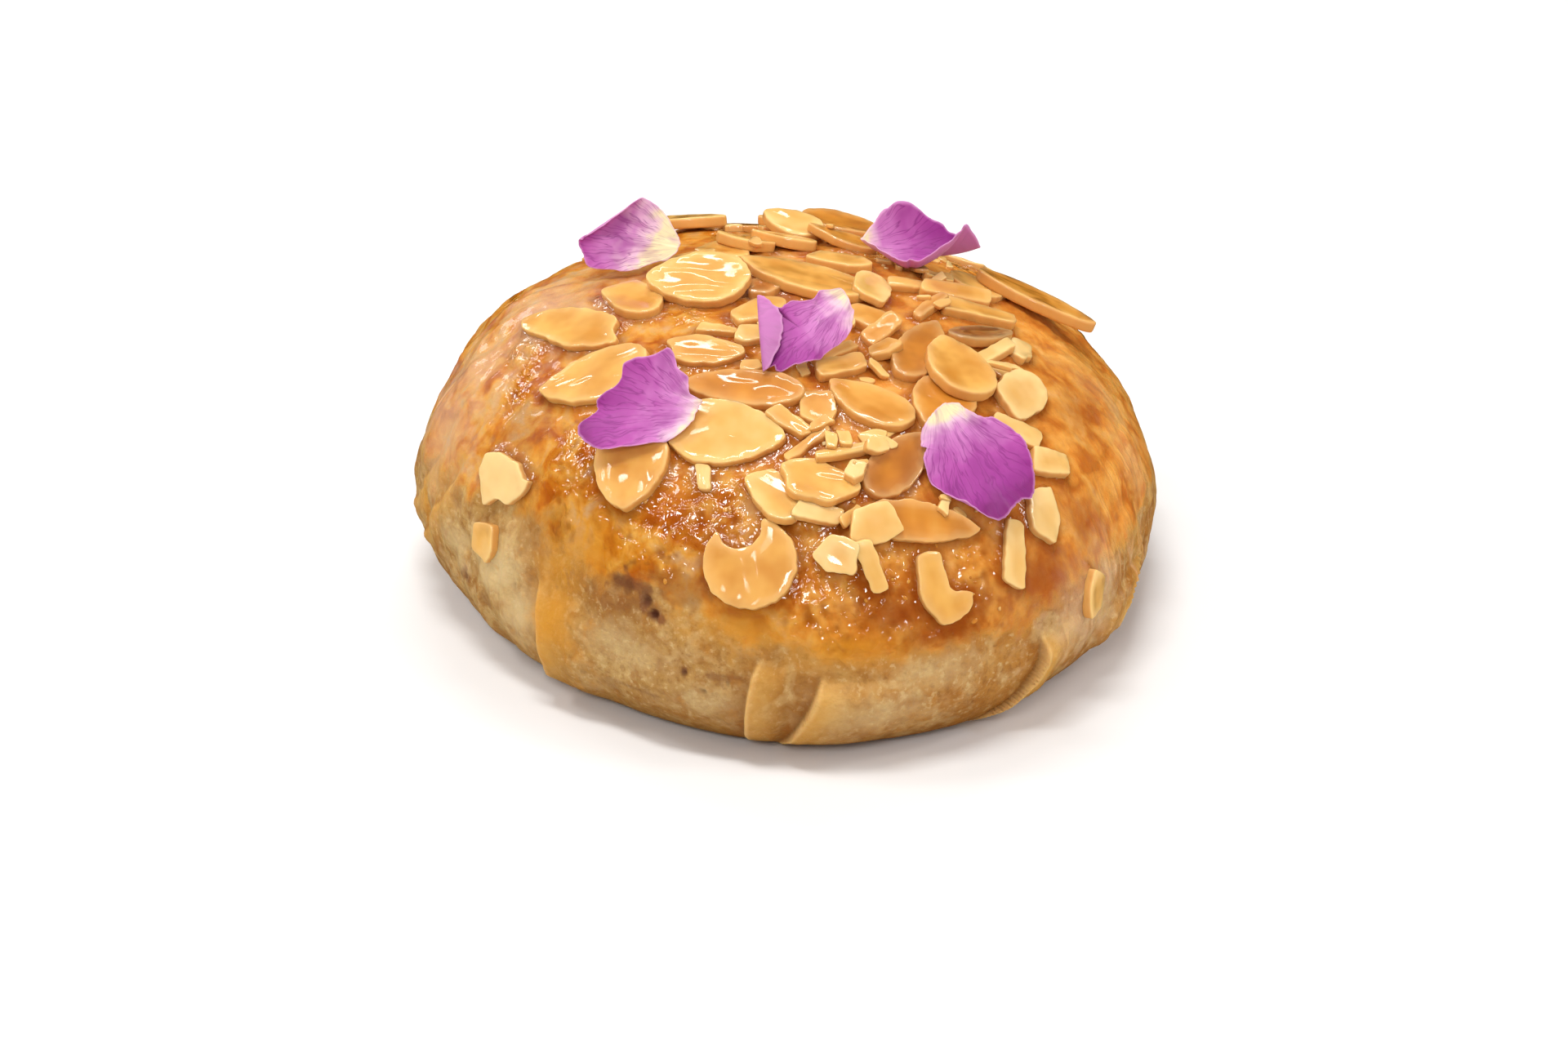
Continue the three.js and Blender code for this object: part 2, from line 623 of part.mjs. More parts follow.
function backAlmondRows() {
  const goldenTurn = Math.PI * (3 - Math.sqrt(5));
  const shapes = ['slice', 'half', 'slice', 'stick', 'slice', 'chip'];
  const rows = [];
  for (let index = 0; index < BACK_SPIRAL; index += 1) {
    const radius = BACK_FARTHEST * Math.sqrt(1 - index / BACK_SPIRAL);
    const theta = index * goldenTurn;
    const x = radius * Math.cos(theta);
    const y = radius * Math.sin(theta);
    if (y < BACK_NEAREST || Math.abs(x) > y - 2) continue;
    const shape = shapes[rows.length % shapes.length];
    const small = shape === 'stick' || shape === 'chip';
    const length = small ? between(7, 10) : between(13, 19);
    const width = small ? between(3, 5) : between(7, 10);
    rows.push([shape, x, y, length, width, between(0, 360)]);
  }
  return rows;
}

// Joining

function solidFrom(geometry) {
  geometry.deleteAttribute('normal');
  geometry.deleteAttribute('uv');
  const merged = mergeVertices(geometry, 1e-4);
  const vertProperties = new Float32Array(merged.attributes.position.array);
  const triVerts = new Uint32Array(merged.index.array);
  return new wasm.Manifold(new wasm.Mesh({ numProp: 3, vertProperties, triVerts }));
}

function geometryFrom(solid) {
  const mesh = solid.getMesh();
  const geometry = new THREE.BufferGeometry();
  geometry.setAttribute('position', new THREE.BufferAttribute(new Float32Array(mesh.vertProperties), 3));
  geometry.setIndex(new THREE.BufferAttribute(new Uint32Array(mesh.triVerts), 1));
  geometry.computeVertexNormals();
  return geometry;
}

// The outer body alone, so that sealed hollows are filled and loose scraps dropped
function outerBody(solid) {
  return solid.decompose().reduce((largest, body) => (body.volume() > largest.volume() ? body : largest));
}

function pastrySolid() {
  const seated = [];
  for (const row of [...ALMONDS, ...backAlmondRows()]) {
    seated.push(seatAlmond(row, seated));
  }
  const flaps = [...FOLDS, ...backFolds()].map(flapGeometry);
  const pieces = [...flaps, ...seated.map(almondGeometry)];
  const parcel = solidFrom(parcelGeometry());
  return outerBody(pieces.reduce((solid, piece) => solid.add(solidFrom(piece)), parcel));
}

// Petals: rings from the middle out to the rim, dished and then curled

function curledPast(point, [direction, distance, radius]) {
  const [right, up] = [Math.cos(direction * DEG), Math.sin(direction * DEG)];
  const past = Math.max(point.x * right + point.y * up - distance, 0);
  const turn = Math.min(past / radius, Math.PI);
  const straight = past - turn * radius;
  const shift = radius * Math.sin(turn) + straight * Math.cos(turn) - past;
  const rise = radius * (1 - Math.cos(turn)) + straight * Math.sin(turn);
  return new THREE.Vector3(point.x + right * shift, point.y + up * shift, point.z + rise);
}

function petalPoint(petal, share, spoke) {
  const [right, up, proud] = petal.rim[spoke];
  const flat = new THREE.Vector3(right * share, up * share, proud * share ** petal.dish);
  return petal.curls.reduce(curledPast, flat);
}

function petalNormal(petal, share, spoke) {
  const step = 0.02;
  const inner = Math.max(share - step, step);
  const sides = petal.rim.length;
  const out = petalPoint(petal, inner + step, spoke).sub(petalPoint(petal, inner, spoke));
  const before = petalPoint(petal, inner, (spoke + sides - 1) % sides);
  const round = petalPoint(petal, inner, (spoke + 1) % sides).sub(before);
  return out.cross(round).normalize();
}

function petalFace(petal, offset) {
  const places = [[0, 0]];
  for (let circle = 1; circle <= PETAL_RINGS; circle += 1) {
    petal.rim.forEach((_, spoke) => places.push([circle / PETAL_RINGS, spoke]));
  }
  return places.map((place) => {
    return petalPoint(petal, ...place).addScaledVector(petalNormal(petal, ...place), offset);
  });
}

function petalGeometry(petal) {
  const upper = petalFace(petal, PETAL_THICKNESS / 2);
  const lower = petalFace(petal, -PETAL_THICKNESS / 2);
  const faces = [];
  const sides = petal.rim.length;
  const at = (circle, spoke) => (circle ? 1 + (circle - 1) * sides + (spoke % sides) : 0);
  const both = (i, j, k) => {
    faces.push(i, j, k);
    faces.push(upper.length + i, upper.length + k, upper.length + j);
  };
  for (let spoke = 0; spoke < sides; spoke += 1) {
    both(0, at(1, spoke), at(1, spoke + 1));
    for (let circle = 1; circle < PETAL_RINGS; circle += 1) {
      both(at(circle, spoke), at(circle + 1, spoke), at(circle + 1, spoke + 1));
      both(at(circle, spoke), at(circle + 1, spoke + 1), at(circle, spoke + 1));
    }
    const rim = at(PETAL_RINGS, spoke);
    const next = at(PETAL_RINGS, spoke + 1);
    faces.push(rim, upper.length + rim, upper.length + next);
    faces.push(rim, upper.length + next, next);
  }
  const geometry = new THREE.BufferGeometry().setFromPoints([...upper, ...lower]).setIndex(faces);
  return geometry.rotateZ(petal.roll * DEG).rotateX(petal.face * DEG).rotateY(petal.side * DEG);
}

// A petal starts in the surface and rises until nothing of it is left inside
function restPetal(petal, pastry) {
  const geometry = petalGeometry(petal);
  geometry.translate(petal.at[0], petal.at[1], skin(...surfacePlace(...petal.at)).z);
  while (!solidFrom(geometry.clone()).intersect(pastry).isEmpty()) {
    geometry.translate(0, 0, PETAL_STEP);
  }
  geometry.translate(0, 0, PETAL_GAP);
  geometry.computeVertexNormals();
  return geometry;
}

function named(name, geometry, look) {
  const mesh = new THREE.Mesh(geometry, new THREE.MeshStandardMaterial(look));
  mesh.name = name;
  return mesh;
}

const pastilla = new THREE.Group();
const pastry = pastrySolid();
pastilla.add(named('pastry', geometryFrom(pastry), PASTRY_LOOK));
PETALS.forEach((petal, index) => {
  pastilla.add(named(`petal_${index + 1}`, restPetal(petal, pastry), PETAL_LOOK));
});

export default pastilla;
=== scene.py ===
import math
from itertools import product

import bpy
import numpy as np
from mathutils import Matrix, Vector
from mathutils.geometry import delaunay_2d_cdt


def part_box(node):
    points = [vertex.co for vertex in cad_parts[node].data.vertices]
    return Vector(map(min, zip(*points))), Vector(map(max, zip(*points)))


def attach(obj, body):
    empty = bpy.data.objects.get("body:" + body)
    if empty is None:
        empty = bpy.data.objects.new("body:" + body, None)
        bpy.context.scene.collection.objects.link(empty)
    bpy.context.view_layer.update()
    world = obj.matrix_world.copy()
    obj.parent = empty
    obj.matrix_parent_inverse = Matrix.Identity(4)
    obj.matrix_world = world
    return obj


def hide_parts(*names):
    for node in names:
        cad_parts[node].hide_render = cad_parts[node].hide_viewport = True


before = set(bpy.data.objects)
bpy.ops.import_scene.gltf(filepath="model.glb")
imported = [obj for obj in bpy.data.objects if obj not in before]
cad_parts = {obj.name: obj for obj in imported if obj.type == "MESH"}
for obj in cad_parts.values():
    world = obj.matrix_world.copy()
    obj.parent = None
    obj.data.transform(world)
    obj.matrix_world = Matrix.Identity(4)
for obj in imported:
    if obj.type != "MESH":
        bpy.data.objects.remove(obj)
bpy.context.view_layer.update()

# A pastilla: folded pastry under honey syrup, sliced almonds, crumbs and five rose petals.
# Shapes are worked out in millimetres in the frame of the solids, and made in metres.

MM = 0.001

# Parcel, as in the solids
PARCEL_RADIUS = 59.4
WAIST_HEIGHT = 13.2
CROWN_HEIGHT = 39
CROWN_LEAN = 0.1
CROWN_SQUARENESS = 2.42
CROWN_FULLNESS = 2.2
FOOT_SHARE = 0.817
FOOT_ROUNDNESS = 1.69
FOOT_SPAN = 0.24
LOBES = [(2, 0.018, -51), (3, 0.039, 40)]
LUMP_HEIGHT = 0.6
LUMP_SPACING = 8
SMOOTH_FOOT = 5
SLOPE_STEP = 0.004

# Fineness of the pastry: cells across the crown, rings of the wall, and where the crown and the wall meet.
# Each wall spans headings and has so many sectors to each of the crown's edge cells.
CROWN_CELLS = 250
WALL_RINGS = 80
WALLS = {"pastry_front": ((-198, 18), 2), "pastry_back": ((18, 162), 1)}
SEAM = 0.7

# Folds: heading of the free edge at three heights, how proud it stands, how far the flap reaches, its side
FOLD_SINK = 0.9
FOLD_FOOT = 0.8
FOLDS = [
    ((-94, -97, -97), (21, 11, FOLD_FOOT), 1.2, 8, 1),
    ((-86, -88, -93), (18, 11, FOLD_FOOT), 1.6, 20, 1),
    ((-53, -54, -62), (18, 9, FOLD_FOOT), 1.8, 9, 1),
    ((-49, -49, -52), (19, 11, 5), 0.8, 14, 1),
    ((-137, -133, -135), (23, 13, FOLD_FOOT), 1.6, 18, 1),
    ((-157, -164, -173), (34, 23, 13), 1.2, 16, 1),
    ((-168, -171, -182), (39, 26, 14), 1.1, 10, 1),
    ((-184, -182, -179), (44, 36, 25), 0.9, 12, 1),
    ((-6, -7, -8), (34, 27, 20), 0.9, 10, -1),
    ((-21, -19, -15), (27, 20, 13), 0.9, 10, -1),
    ((-14, -24, -29), (17, 13, 7), 1.3, 14, -1),
]
BACK_FOLDS = 6
BACK_FOLD_START = 18
BACK_FOLD_PITCH = 25
BACK_FOLD_WANDER = (-6, 6)
BACK_FOLD_TOPS = (18, 34)
BACK_FOLD_LEANS = ((-4, 4), (-8, 2))
BACK_FOLD_PROUDS = (0.9, 1.6)
BACK_FOLD_REACHES = (10, 16)

# Finish of the folds: their ends, the half width of a free edge, its lip, the gully beside it, and tints (a
# strip on the flap, painted shade in its crease, a painted highlight on its lip).
# Folds that start high or stand low are soft.
FOLD_RUN_OUT = 2
FOLD_TOP_FADE = (0, 0.3)
FOLD_FOOT_FADE = (1.27, 1.04)
FOLD_SECTION = ((0, 0.5, 1), (1, 0.85, 0))
FOLD_EDGE = 0.22
SOFT_FOLD_EDGE = 2.2
SOFT_FOLD_TOP = 24
SOFT_FOLD_PROUD = 1
SOFT_FOLD_SHARE = 0.7
LIP_HEIGHT = 0.18
LIP_PLACE = 0.35
LIP_WIDTH = 0.45
GULLY_DEPTH = 0.45
GULLY_PLACE = -0.9
GULLY_WIDTH = 0.8
GULLY_END = 0.2
STRIP_START = (-0.2, 0.2)
STRIP_WIDTH = 4.5
# Painted shade in the crease: where it ends, its width, and where and how far the flap covers it
CREASE_SHADE_END = (0.25, -0.15)
CREASE_SHADE_WIDTH = 2
SOFT_CREASE_SHADE_WIDTH = 0.8
CREASE_SHADE_COVER = (-0.2, 0.4)
CREASE_SHADE_COVER_WIDTH = 4
BOLD_FOLD = 1.3
BOLDEST = 1.2

# Height of the syrup's lower edge by heading, and the places where it lies thick and bubbly
GLAZE_EDGE = [
    (-180, 25), (-165, 27), (-150, 31), (-140, 31), (-131, 28), (-122, 26), (-112, 27), (-104, 25),
    (-96, 22), (-84, 20), (-70, 19.5), (-60, 20.5), (-50, 21), (-38, 21), (-24, 21), (-5, 22),
    (40, 23), (80, 23), (120, 25), (150, 27),
]
GLAZE_FADE = 3.2
WET_SPOTS = [
    (-29, -38, 4), (-26, -41.5, 4), (-22.5, -43, 3.5), (-34, -33, 3.5), (-12.5, -48.5, 5), (-9, -51, 4.5),
    (-11.5, -51.5, 4), (1, -56, 4.5), (0, -58, 4), (3, -59, 3.5), (16, -54.5, 5), (18.5, -53, 4),
    (15, -56, 4), (15.5, -59, 3), (27, -51, 4), (-42, -13, 2.2), (-40, -10, 2), (-43.5, -15.5, 2),
    (-19, -50, 4), (-24, -46.5, 4), (9, -58, 3.5), (22, -57, 3.5), (27, -55, 3), (6, -60, 3), (-34, -37, 3),
    (-16.7, -10.2, 3.5), (14, -21, 4), (-35, -40, 3), (-42.6, -7.5, 2.4),
]

# Stains in the pastry by kind, the blush also a painted sheen along the left silhouette: heading, height,
# width, height of the stain and how strong it is
STAINS = {
    # blush: pale pink translucent pastry, with a painted sheen along the left silhouette
    "blush_and_sheen": [
        (-176, 40, 7, 6, 0.6), (-170, 31, 8, 8, 0.65), (178, 32, 8, 9, 0.8), (-150, 38, 5, 4, 0.1),
        (178, 47, 12, 4, 0.7), (-14, 27, 4, 6, 0.25), (-4, 34, 4, 6, 0.2), (-44, 17, 6, 6, 0.5),
        (-36, 20, 5, 6, 0.4),
    ],
    "gold": [
        (-126, 29, 7, 4, 0.8), (-122, 27, 5, 3, 0.6), (-174, 18, 3, 4, 0.8), (-166, 25, 5, 4, 0.5),
        (-131, 24, 5, 5, 0.9), (-130, 16, 5, 6, 1), (-141, 30, 3, 3, 0.6),
        (-82, 21, 8, 2.5, 0.8), (-98, 23, 8, 3, 0.8), (-87, 20, 5, 2.5, 0.5), (60, 22, 14, 4, 0.6),
        (120, 20, 12, 5, 0.6),
    ],
    "brown": [
        (-158, 25.6, 1.8, 1.5, 0.4), (-138, 28, 4, 3, 0.3), (-134, 30, 4, 3, 0.3), (-118, 24.2, 7, 2.6, 0.42),
        (-116, 26.2, 4.6, 1, 0.9), (-113.2, 24.4, 0.9, 2.2, 0.9), (-111.4, 22.4, 1.8, 0.8, 0.9),
        (-107, 27.6, 5, 2.4, 0.5), (-148, 12.5, 2.4, 1.5, 0.4), (-155, 13.2, 1.8, 0.7, 0.6),
        (-144, 33, 4, 3, 0.3), (-106, 14.9, 0.5, 0.8, 0.9), (-119, 8.5, 1.8, 1.4, 0.3),
        (-114, 9.5, 4, 0.5, 0.5), (-152, 39, 6, 4, 0.3), (-100, 15.2, 3, 0.5, 0.5), (35, 26, 6, 4, 0.4),
        (88, 12, 4, 3, 0.4), (142, 27, 7, 3, 0.5),
    ],
    "pale": [
        (-144, 18.7, 6, 5, 1), (-139, 14, 5, 5, 1), (-118, 16.4, 7, 3, 0.6), (-113, 15.3, 5, 3, 0.5),
        (-102, 10.5, 6, 3, 0.5), (-79, 9.8, 8, 4, 0.6), (-70, 15.9, 7, 3, 0.5), (-47, 14.4, 5, 4, 0.6),
        (-38, 14.4, 5, 4, 0.6), (-85, 12.5, 4, 3, 0.5), (-158, 18.4, 4, 4, 0.6), (20, 14, 9, 4, 0.7),
        (75, 13, 11, 4, 0.7), (150, 15, 9, 4, 0.6),
    ],
    "deep": [
        (-69, 21.8, 7, 1.8, 1), (-65, 24.7, 6, 2.5, 0.8), (-51, 25, 7, 4, 0.8), (-38, 28, 6, 4, 0.5),
        (-54, 32, 6, 3, 0.5), (-106, 36, 6, 3, 0.5), (-126, 36.5, 5, 3, 0.5), (-75, 25.5, 7, 3, 0.95),
        (-18, 37, 7, 3, 0.4), (50, 27, 9, 3, 0.6), (100, 29, 9, 4, 0.6),
    ],
}
CRISP_STAINS = ("brown",)
CRISP_SPREAD = (1.25, 0.7)

# Pits on the wall: heading, height, radius, depth. Each is found on the wall by halving the way to it.
PITS = [
    (-118, 25.8, 1.5, 0.4), (-116, 25.6, 1.3, 0.5), (-112.7, 24.4, 0.9, 0.8), (-111.4, 22.5, 0.9, 1),
    (-106, 14.7, 0.5, 0.5), (-155, 13.2, 0.6, 0.5), (-103, 12.2, 0.4, 0.4), (-99.5, 14, 0.4, 0.4),
    (-124, 9.5, 0.5, 0.3), (-141, 17.5, 0.5, 0.3), (-70, 12, 0.4, 0.3), (-64, 8.5, 0.4, 0.3),
]
PIT_SPREAD = (1.1, 0.5)
HALVINGS = 30

# Pale streaks on the right-hand side: headings and heights over which they fade in at each end
STREAK_SIDES = ((-50, -40), (0, -14))
STREAK_ENDS = ((7, 14), (38, 26))
STREAK_LENGTH = 6
STREAK_THINNESS = 0.22
STREAK_GAPS = (-0.3, 0.3)
STREAK_HEIGHT = 0.15

# Unevenness of the pastry by kind: how much, the size of its lumps and its own number, for each layer
UNEVEN = {
    "fold_edge": [(0.22, 5, 31), (0.05, 2.2, 32)],
    "stain": [(0.5, 4, 41), (0.5, 1.5, 42), (0.25, 0.8, 43)],
    "pit": [(0.35, 1.4, 12)],
    "streak_sway": [(1.2, 9, 51)],
    "streak_ridge": [(1, 2.2, 52)],
    "streak_gap": [(1, 5, 53)],
    "glaze_edge": [(2.4, 9, 3), (1.2, 3, 4)],
    "glaze_runs": [(2.2, 3.4, 16)],
    "wet_behind": [(1, 11, 8)],
    "glaze_broad": [(0.22, 5, 1)],
    "glaze_fine": [(0.1, 2.2, 2), (0.06, 1.3, 5)],
    "ripple_ridge": [(1, 2.6, 13)],
    "ripple_fine": [(0.16, 1.4, 6)],
    "pleats": [(0.24, 2.4, 9)],
    "dry": [(0.22, 3.4, 10), (0.08, 1.1, 11)],
    "drape_runs": [(0.5, 3.2, 14)],
    "drape": [(0.6, 7, 15)],
    # low: the ragged top of the painted shade at the foot of the wall
    "low": [(2, 6, 17)],
}
RUN_LENGTH = 5
PLEAT_LENGTH = 4
RIPPLE_HEIGHT = 0.4
RIPPLE_LEVEL = 0.3
DRAPE_SIDE = (-28, -46)
WET_BEHIND = ((0.1, 0.5), (0, 25))

# Syrup drawn up the rims of the almonds, in millimetres and shares
MENISCUS_REACH = 3.5
MENISCUS_FADES = ((-1.6, -0.2), (2.5, 1.2))
MENISCUS_LEVEL = 0.5
MENISCUS_RISE = 0.7
MENISCUS_WIDTH = 0.6
MENISCUS_SHADE = 1.3
MENISCUS_GLAZE = (0.1, 0.5)
MENISCUS_CALM = 0.7

# Colour cues of the pastry: where the right-hand tints begin, the heights over which painted shade gathers
# low on the wall, and how relief and wetness show
RIGHT_SIDE = (-25, 20)
FOOT_SHADE_HEIGHTS = (11, 2)
HOLLOW_RELIEF = (0.05, -0.2)
CREST_RELIEF = (0.05, 0.22)
DRY_RELIEF = 0.3
RIM_WET = 0.4
RIM_HOLLOW = 0.9

# Almonds, as in the solids: shape, place, length, width, heading, how toasted, and a lean where propped
ALMOND_THICKNESS = 1.6
ALMOND_BEDDING = 0.35
STEEPEST_REST = 0.3
LEAST_FACING = 0.3
NEIGHBOUR_MARGIN = 3
SEAT_ROUNDS = 5
TILT_STEP = 0.2
LAST_TILT_STEP = 0.004
LEAST_GAIN = 1e-6
SLICE_SIDES = 10
ALMONDS = [
    ("slice", -0.6, 24, 10.5, 7.5, 160, 0.15, (0.25, -0.35)),
    ("slice", 7.5, 20, 12, 7, 170, 0.5),
    ("half", -11.3, 12, 10, 6, -40, 0.3),
    ("half", -8.3, 14.5, 10, 6, 150, 0.3),
    ("slice", -2, 16.5, 11, 6, 165, 0.3),
    ("half", -16.5, 8.8, 9, 5, 175, 0.3),
    ("half", 7, 8, 11, 5, -20, 0.3),
    ("half", 29, 12, 10, 7, 150, 0.3),
    ("stick", 22.5, 10, 6, 3, 20, 0.2),
    ("stick", 17.2, 3.4, 7, 3, 10, 0.25),
    ("slice", 38, 12.5, 21, 9, -16, 0.45, (0.1, 0)),
    ("stick", 25, 4.6, 13, 4, 12, 0.3),
    ("stick", 28.5, -1, 13.5, 4.5, 10, 0.3),
    ("stick", 21, -3.6, 9, 2.2, 55, 0.5),
    ("ragged", -34.3, -8.5, 21, 8, 139, 0.3),
    ("half", -25, -5.2, 13, 8, -62, 0.25),
    ("chip", -5, -3, 6, 6, 20, 0.6),
    ("slice", -15, -3.5, 16.5, 12, 175, 0.24, (0, -0.28)),
    ("half", 11.5, -10.5, 9, 6, -30, 0.35),
    ("slice", 1.2, -0.2, 22, 11, 156, 0.3),
    ("half", 11.6, -2.2, 10, 6.5, 80, 0.1),
    ("half", -5.8, -11, 11, 5, 42, 0.3),
    ("stick", -12, -17.3, 6.5, 2, -10, 0.3),
    ("chip", -7, -18.2, 5, 5, 0, 0.1),
    ("ragged", -13.8, -22, 12.5, 6.5, -15, 0.36),
    ("slice", -30.3, -22, 19, 11, 170, 0.25),
    ("chip", -6.6, -26.5, 4, 3, 0, 0.3),
    ("slice", -24.2, -40, 14, 12, -104, 0.34),
    ("slice", -10.2, -38.6, 18.5, 11.5, -15, 0.24),
    ("slice", -8, -31, 19.5, 7.5, 165, 0.48),
    ("shard", -44.5, -27.8, 12, 9.2, -58, 0.02),
    ("chip", -47.3, -29, 6.5, 6, 30, 0.2),
    ("stick", -13.6, -44.4, 5, 2.4, -88, 0.1),
    ("bitten", -6.5, -55.2, 14, 14.5, 88, 0.28),
    ("slice", 19, -17.2, 18, 7.5, 72, 0.5),
    ("stick", 13, -14.5, 9, 3.5, 55, 0.4),
    ("chip", 13.5, -20, 6, 4, 30, 0.4),
    ("stick", 5.8, -21.8, 10, 2.8, 46, 0.3),
    ("stick", 6.7, -25.4, 10, 4.2, 33, 0.3),
    ("chip", 3.4, -35.2, 8, 6, 80, 0.35),
    ("stick", 14.3, -36.8, 8, 3.2, 42, 0.2),
    ("slice", 11, -33.3, 15, 9.5, 145, 0.38),
    ("slice", 21.8, -29.8, 14, 10, -110, 0.45),
    ("slice", 24.2, -21.4, 15, 11, 110, 0.35),
    ("chip", 34.6, -8.6, 7, 4.5, 70, 0.1),
    ("slice", 28.5, -9, 12, 6, 30, 0.95, (0.05, -0.25)),
    ("stick", 30.2, -13.4, 10, 2.8, 50, 0.1),
    ("chip", 32, -17, 5.5, 3.2, -20, 0.1),
    ("half", 34, -20.8, 11, 8, 60, 0.06),
    ("stick", 33.2, -28.6, 10, 4.5, 5, 0.1),
    ("stick", 38, -31.2, 8, 5, 20, 0.15),
    ("chip", 36.6, -39.6, 9.5, 6.5, 104, 0.1),
    ("stick", 32, -47, 11, 4, 102, 0.1),
    ("chip", 44.2, -39.1, 8, 5, -60, 0.18),
    ("slice", 14.8, -43.1, 14.5, 7.5, 57, 0.66),
    ("stick", -0.9, -38.2, 8, 3, -40, 0.3),
    ("stick", 1.8, -41.7, 9, 1.8, 40, 0.3),
    ("half", -3.1, -49.2, 10.5, 6, -60, 0.2),
    ("stick", 3, -51.3, 8, 3.2, -5, 0.1),
    ("ragged", 3.2, -47.7, 12, 8, -8, 0.3),
    ("stick", 7.2, -43.2, 10, 2, 18, 0.1),
    ("chip", 8.6, -46.4, 4, 3, 60, 0.1),
    ("chip", 11.3, -42.4, 4, 2.6, 10, 0.1),
    ("slice", 18, -49.9, 19, 6.5, 5, 0.5),
    ("chip", 11.2, -51.9, 8.5, 6.5, 15, 0.2),
    ("chip", 6.3, -55.3, 7, 6.2, -25, 0.06),
    ("stick", 10.7, -55.6, 9, 3, -62, 0.2),
    ("boot", 21.6, -54.6, 11.4, 8.6, -58, 0.25),
]
BACK_SPIRAL = 110
BACK_NEAREST = 26
BACK_FARTHEST = 50
BACK_MARGIN = 2
BACK_SHAPES = ("slice", "half", "slice", "stick", "slice", "chip")
BACK_LARGE = ((13, 19), (7, 10))
BACK_SMALL = ((7, 10), (3, 5))
BACK_TOASTS = (0.2, 0.45, 0.3, 0.1, 0.55, 0.25)
SEED = 20

# Broken bits of almond between the slices: how many, their length in millimetres and width as a share of it,
# and where they lie, by x, y and spread
BITS = 80
BIT_LENGTHS = (2, 5)
BIT_WIDTHS = (0.3, 0.55)
BIT_TOASTS = (0, 0.35)
BIT_THICKNESS = 0.8
BIT_SHAPES = ("stick", "chip")
BIT_SPOTS = [
    (8, -41, 3), (14, -40, 3), (21, -45, 3), (9, -27, 4), (28, -16, 4), (33, -12, 3), (7, -15, 4),
    (-8, -14, 4), (16, 8, 5), (23, 0, 4), (9, -49, 3), (-2, 10, 6), (30, -35, 4), (-2, 38, 8),
    (20, 30, 8), (-18, 32, 8),
]

# Fineness and finish of the almonds
ALMOND_SPACING = 0.45
ALMOND_CELL = 1.0
ALMOND_RIM = [(0.2, 1.0), (0.05, 0.95), (0.0, 0.82), (0.0, 0.22), (0.08, 0.05), (0.25, 0.0)]
ALMOND_BEND = 0.24
ALMOND_ROUGHNESS = 0.1
ALMOND_LUMP = 4
ALMOND_LAYERS = 3
ALMOND_HOLLOW = 0.15
HOLLOW_START = (0.4, 2.4)
THICKNESS_RANGE = (0.85, 1.2)
TOAST_RANGE = (-0.06, 0.06)
RIM_TINT = 0.6
INNER_TINT = (0.5, 2.6)
INNER_RANGE = (0.1, 1)
LEAF_GAP = 40
FINE_SIDES = 30
FEWEST_POINTS = 16
RAGGED_RIM = [(0.26, 2.2), (0.12, 0.9)]
LATER_CUTS = (0.25, 0.25)
CORNER_CUTS = {
    "slice": 0.25, "half": 0.15, "stick": 0.08, "chip": 0.08, "ragged": 0.2, "bitten": 0.2, "boot": 0.12,
    "shard": 0.08,
}

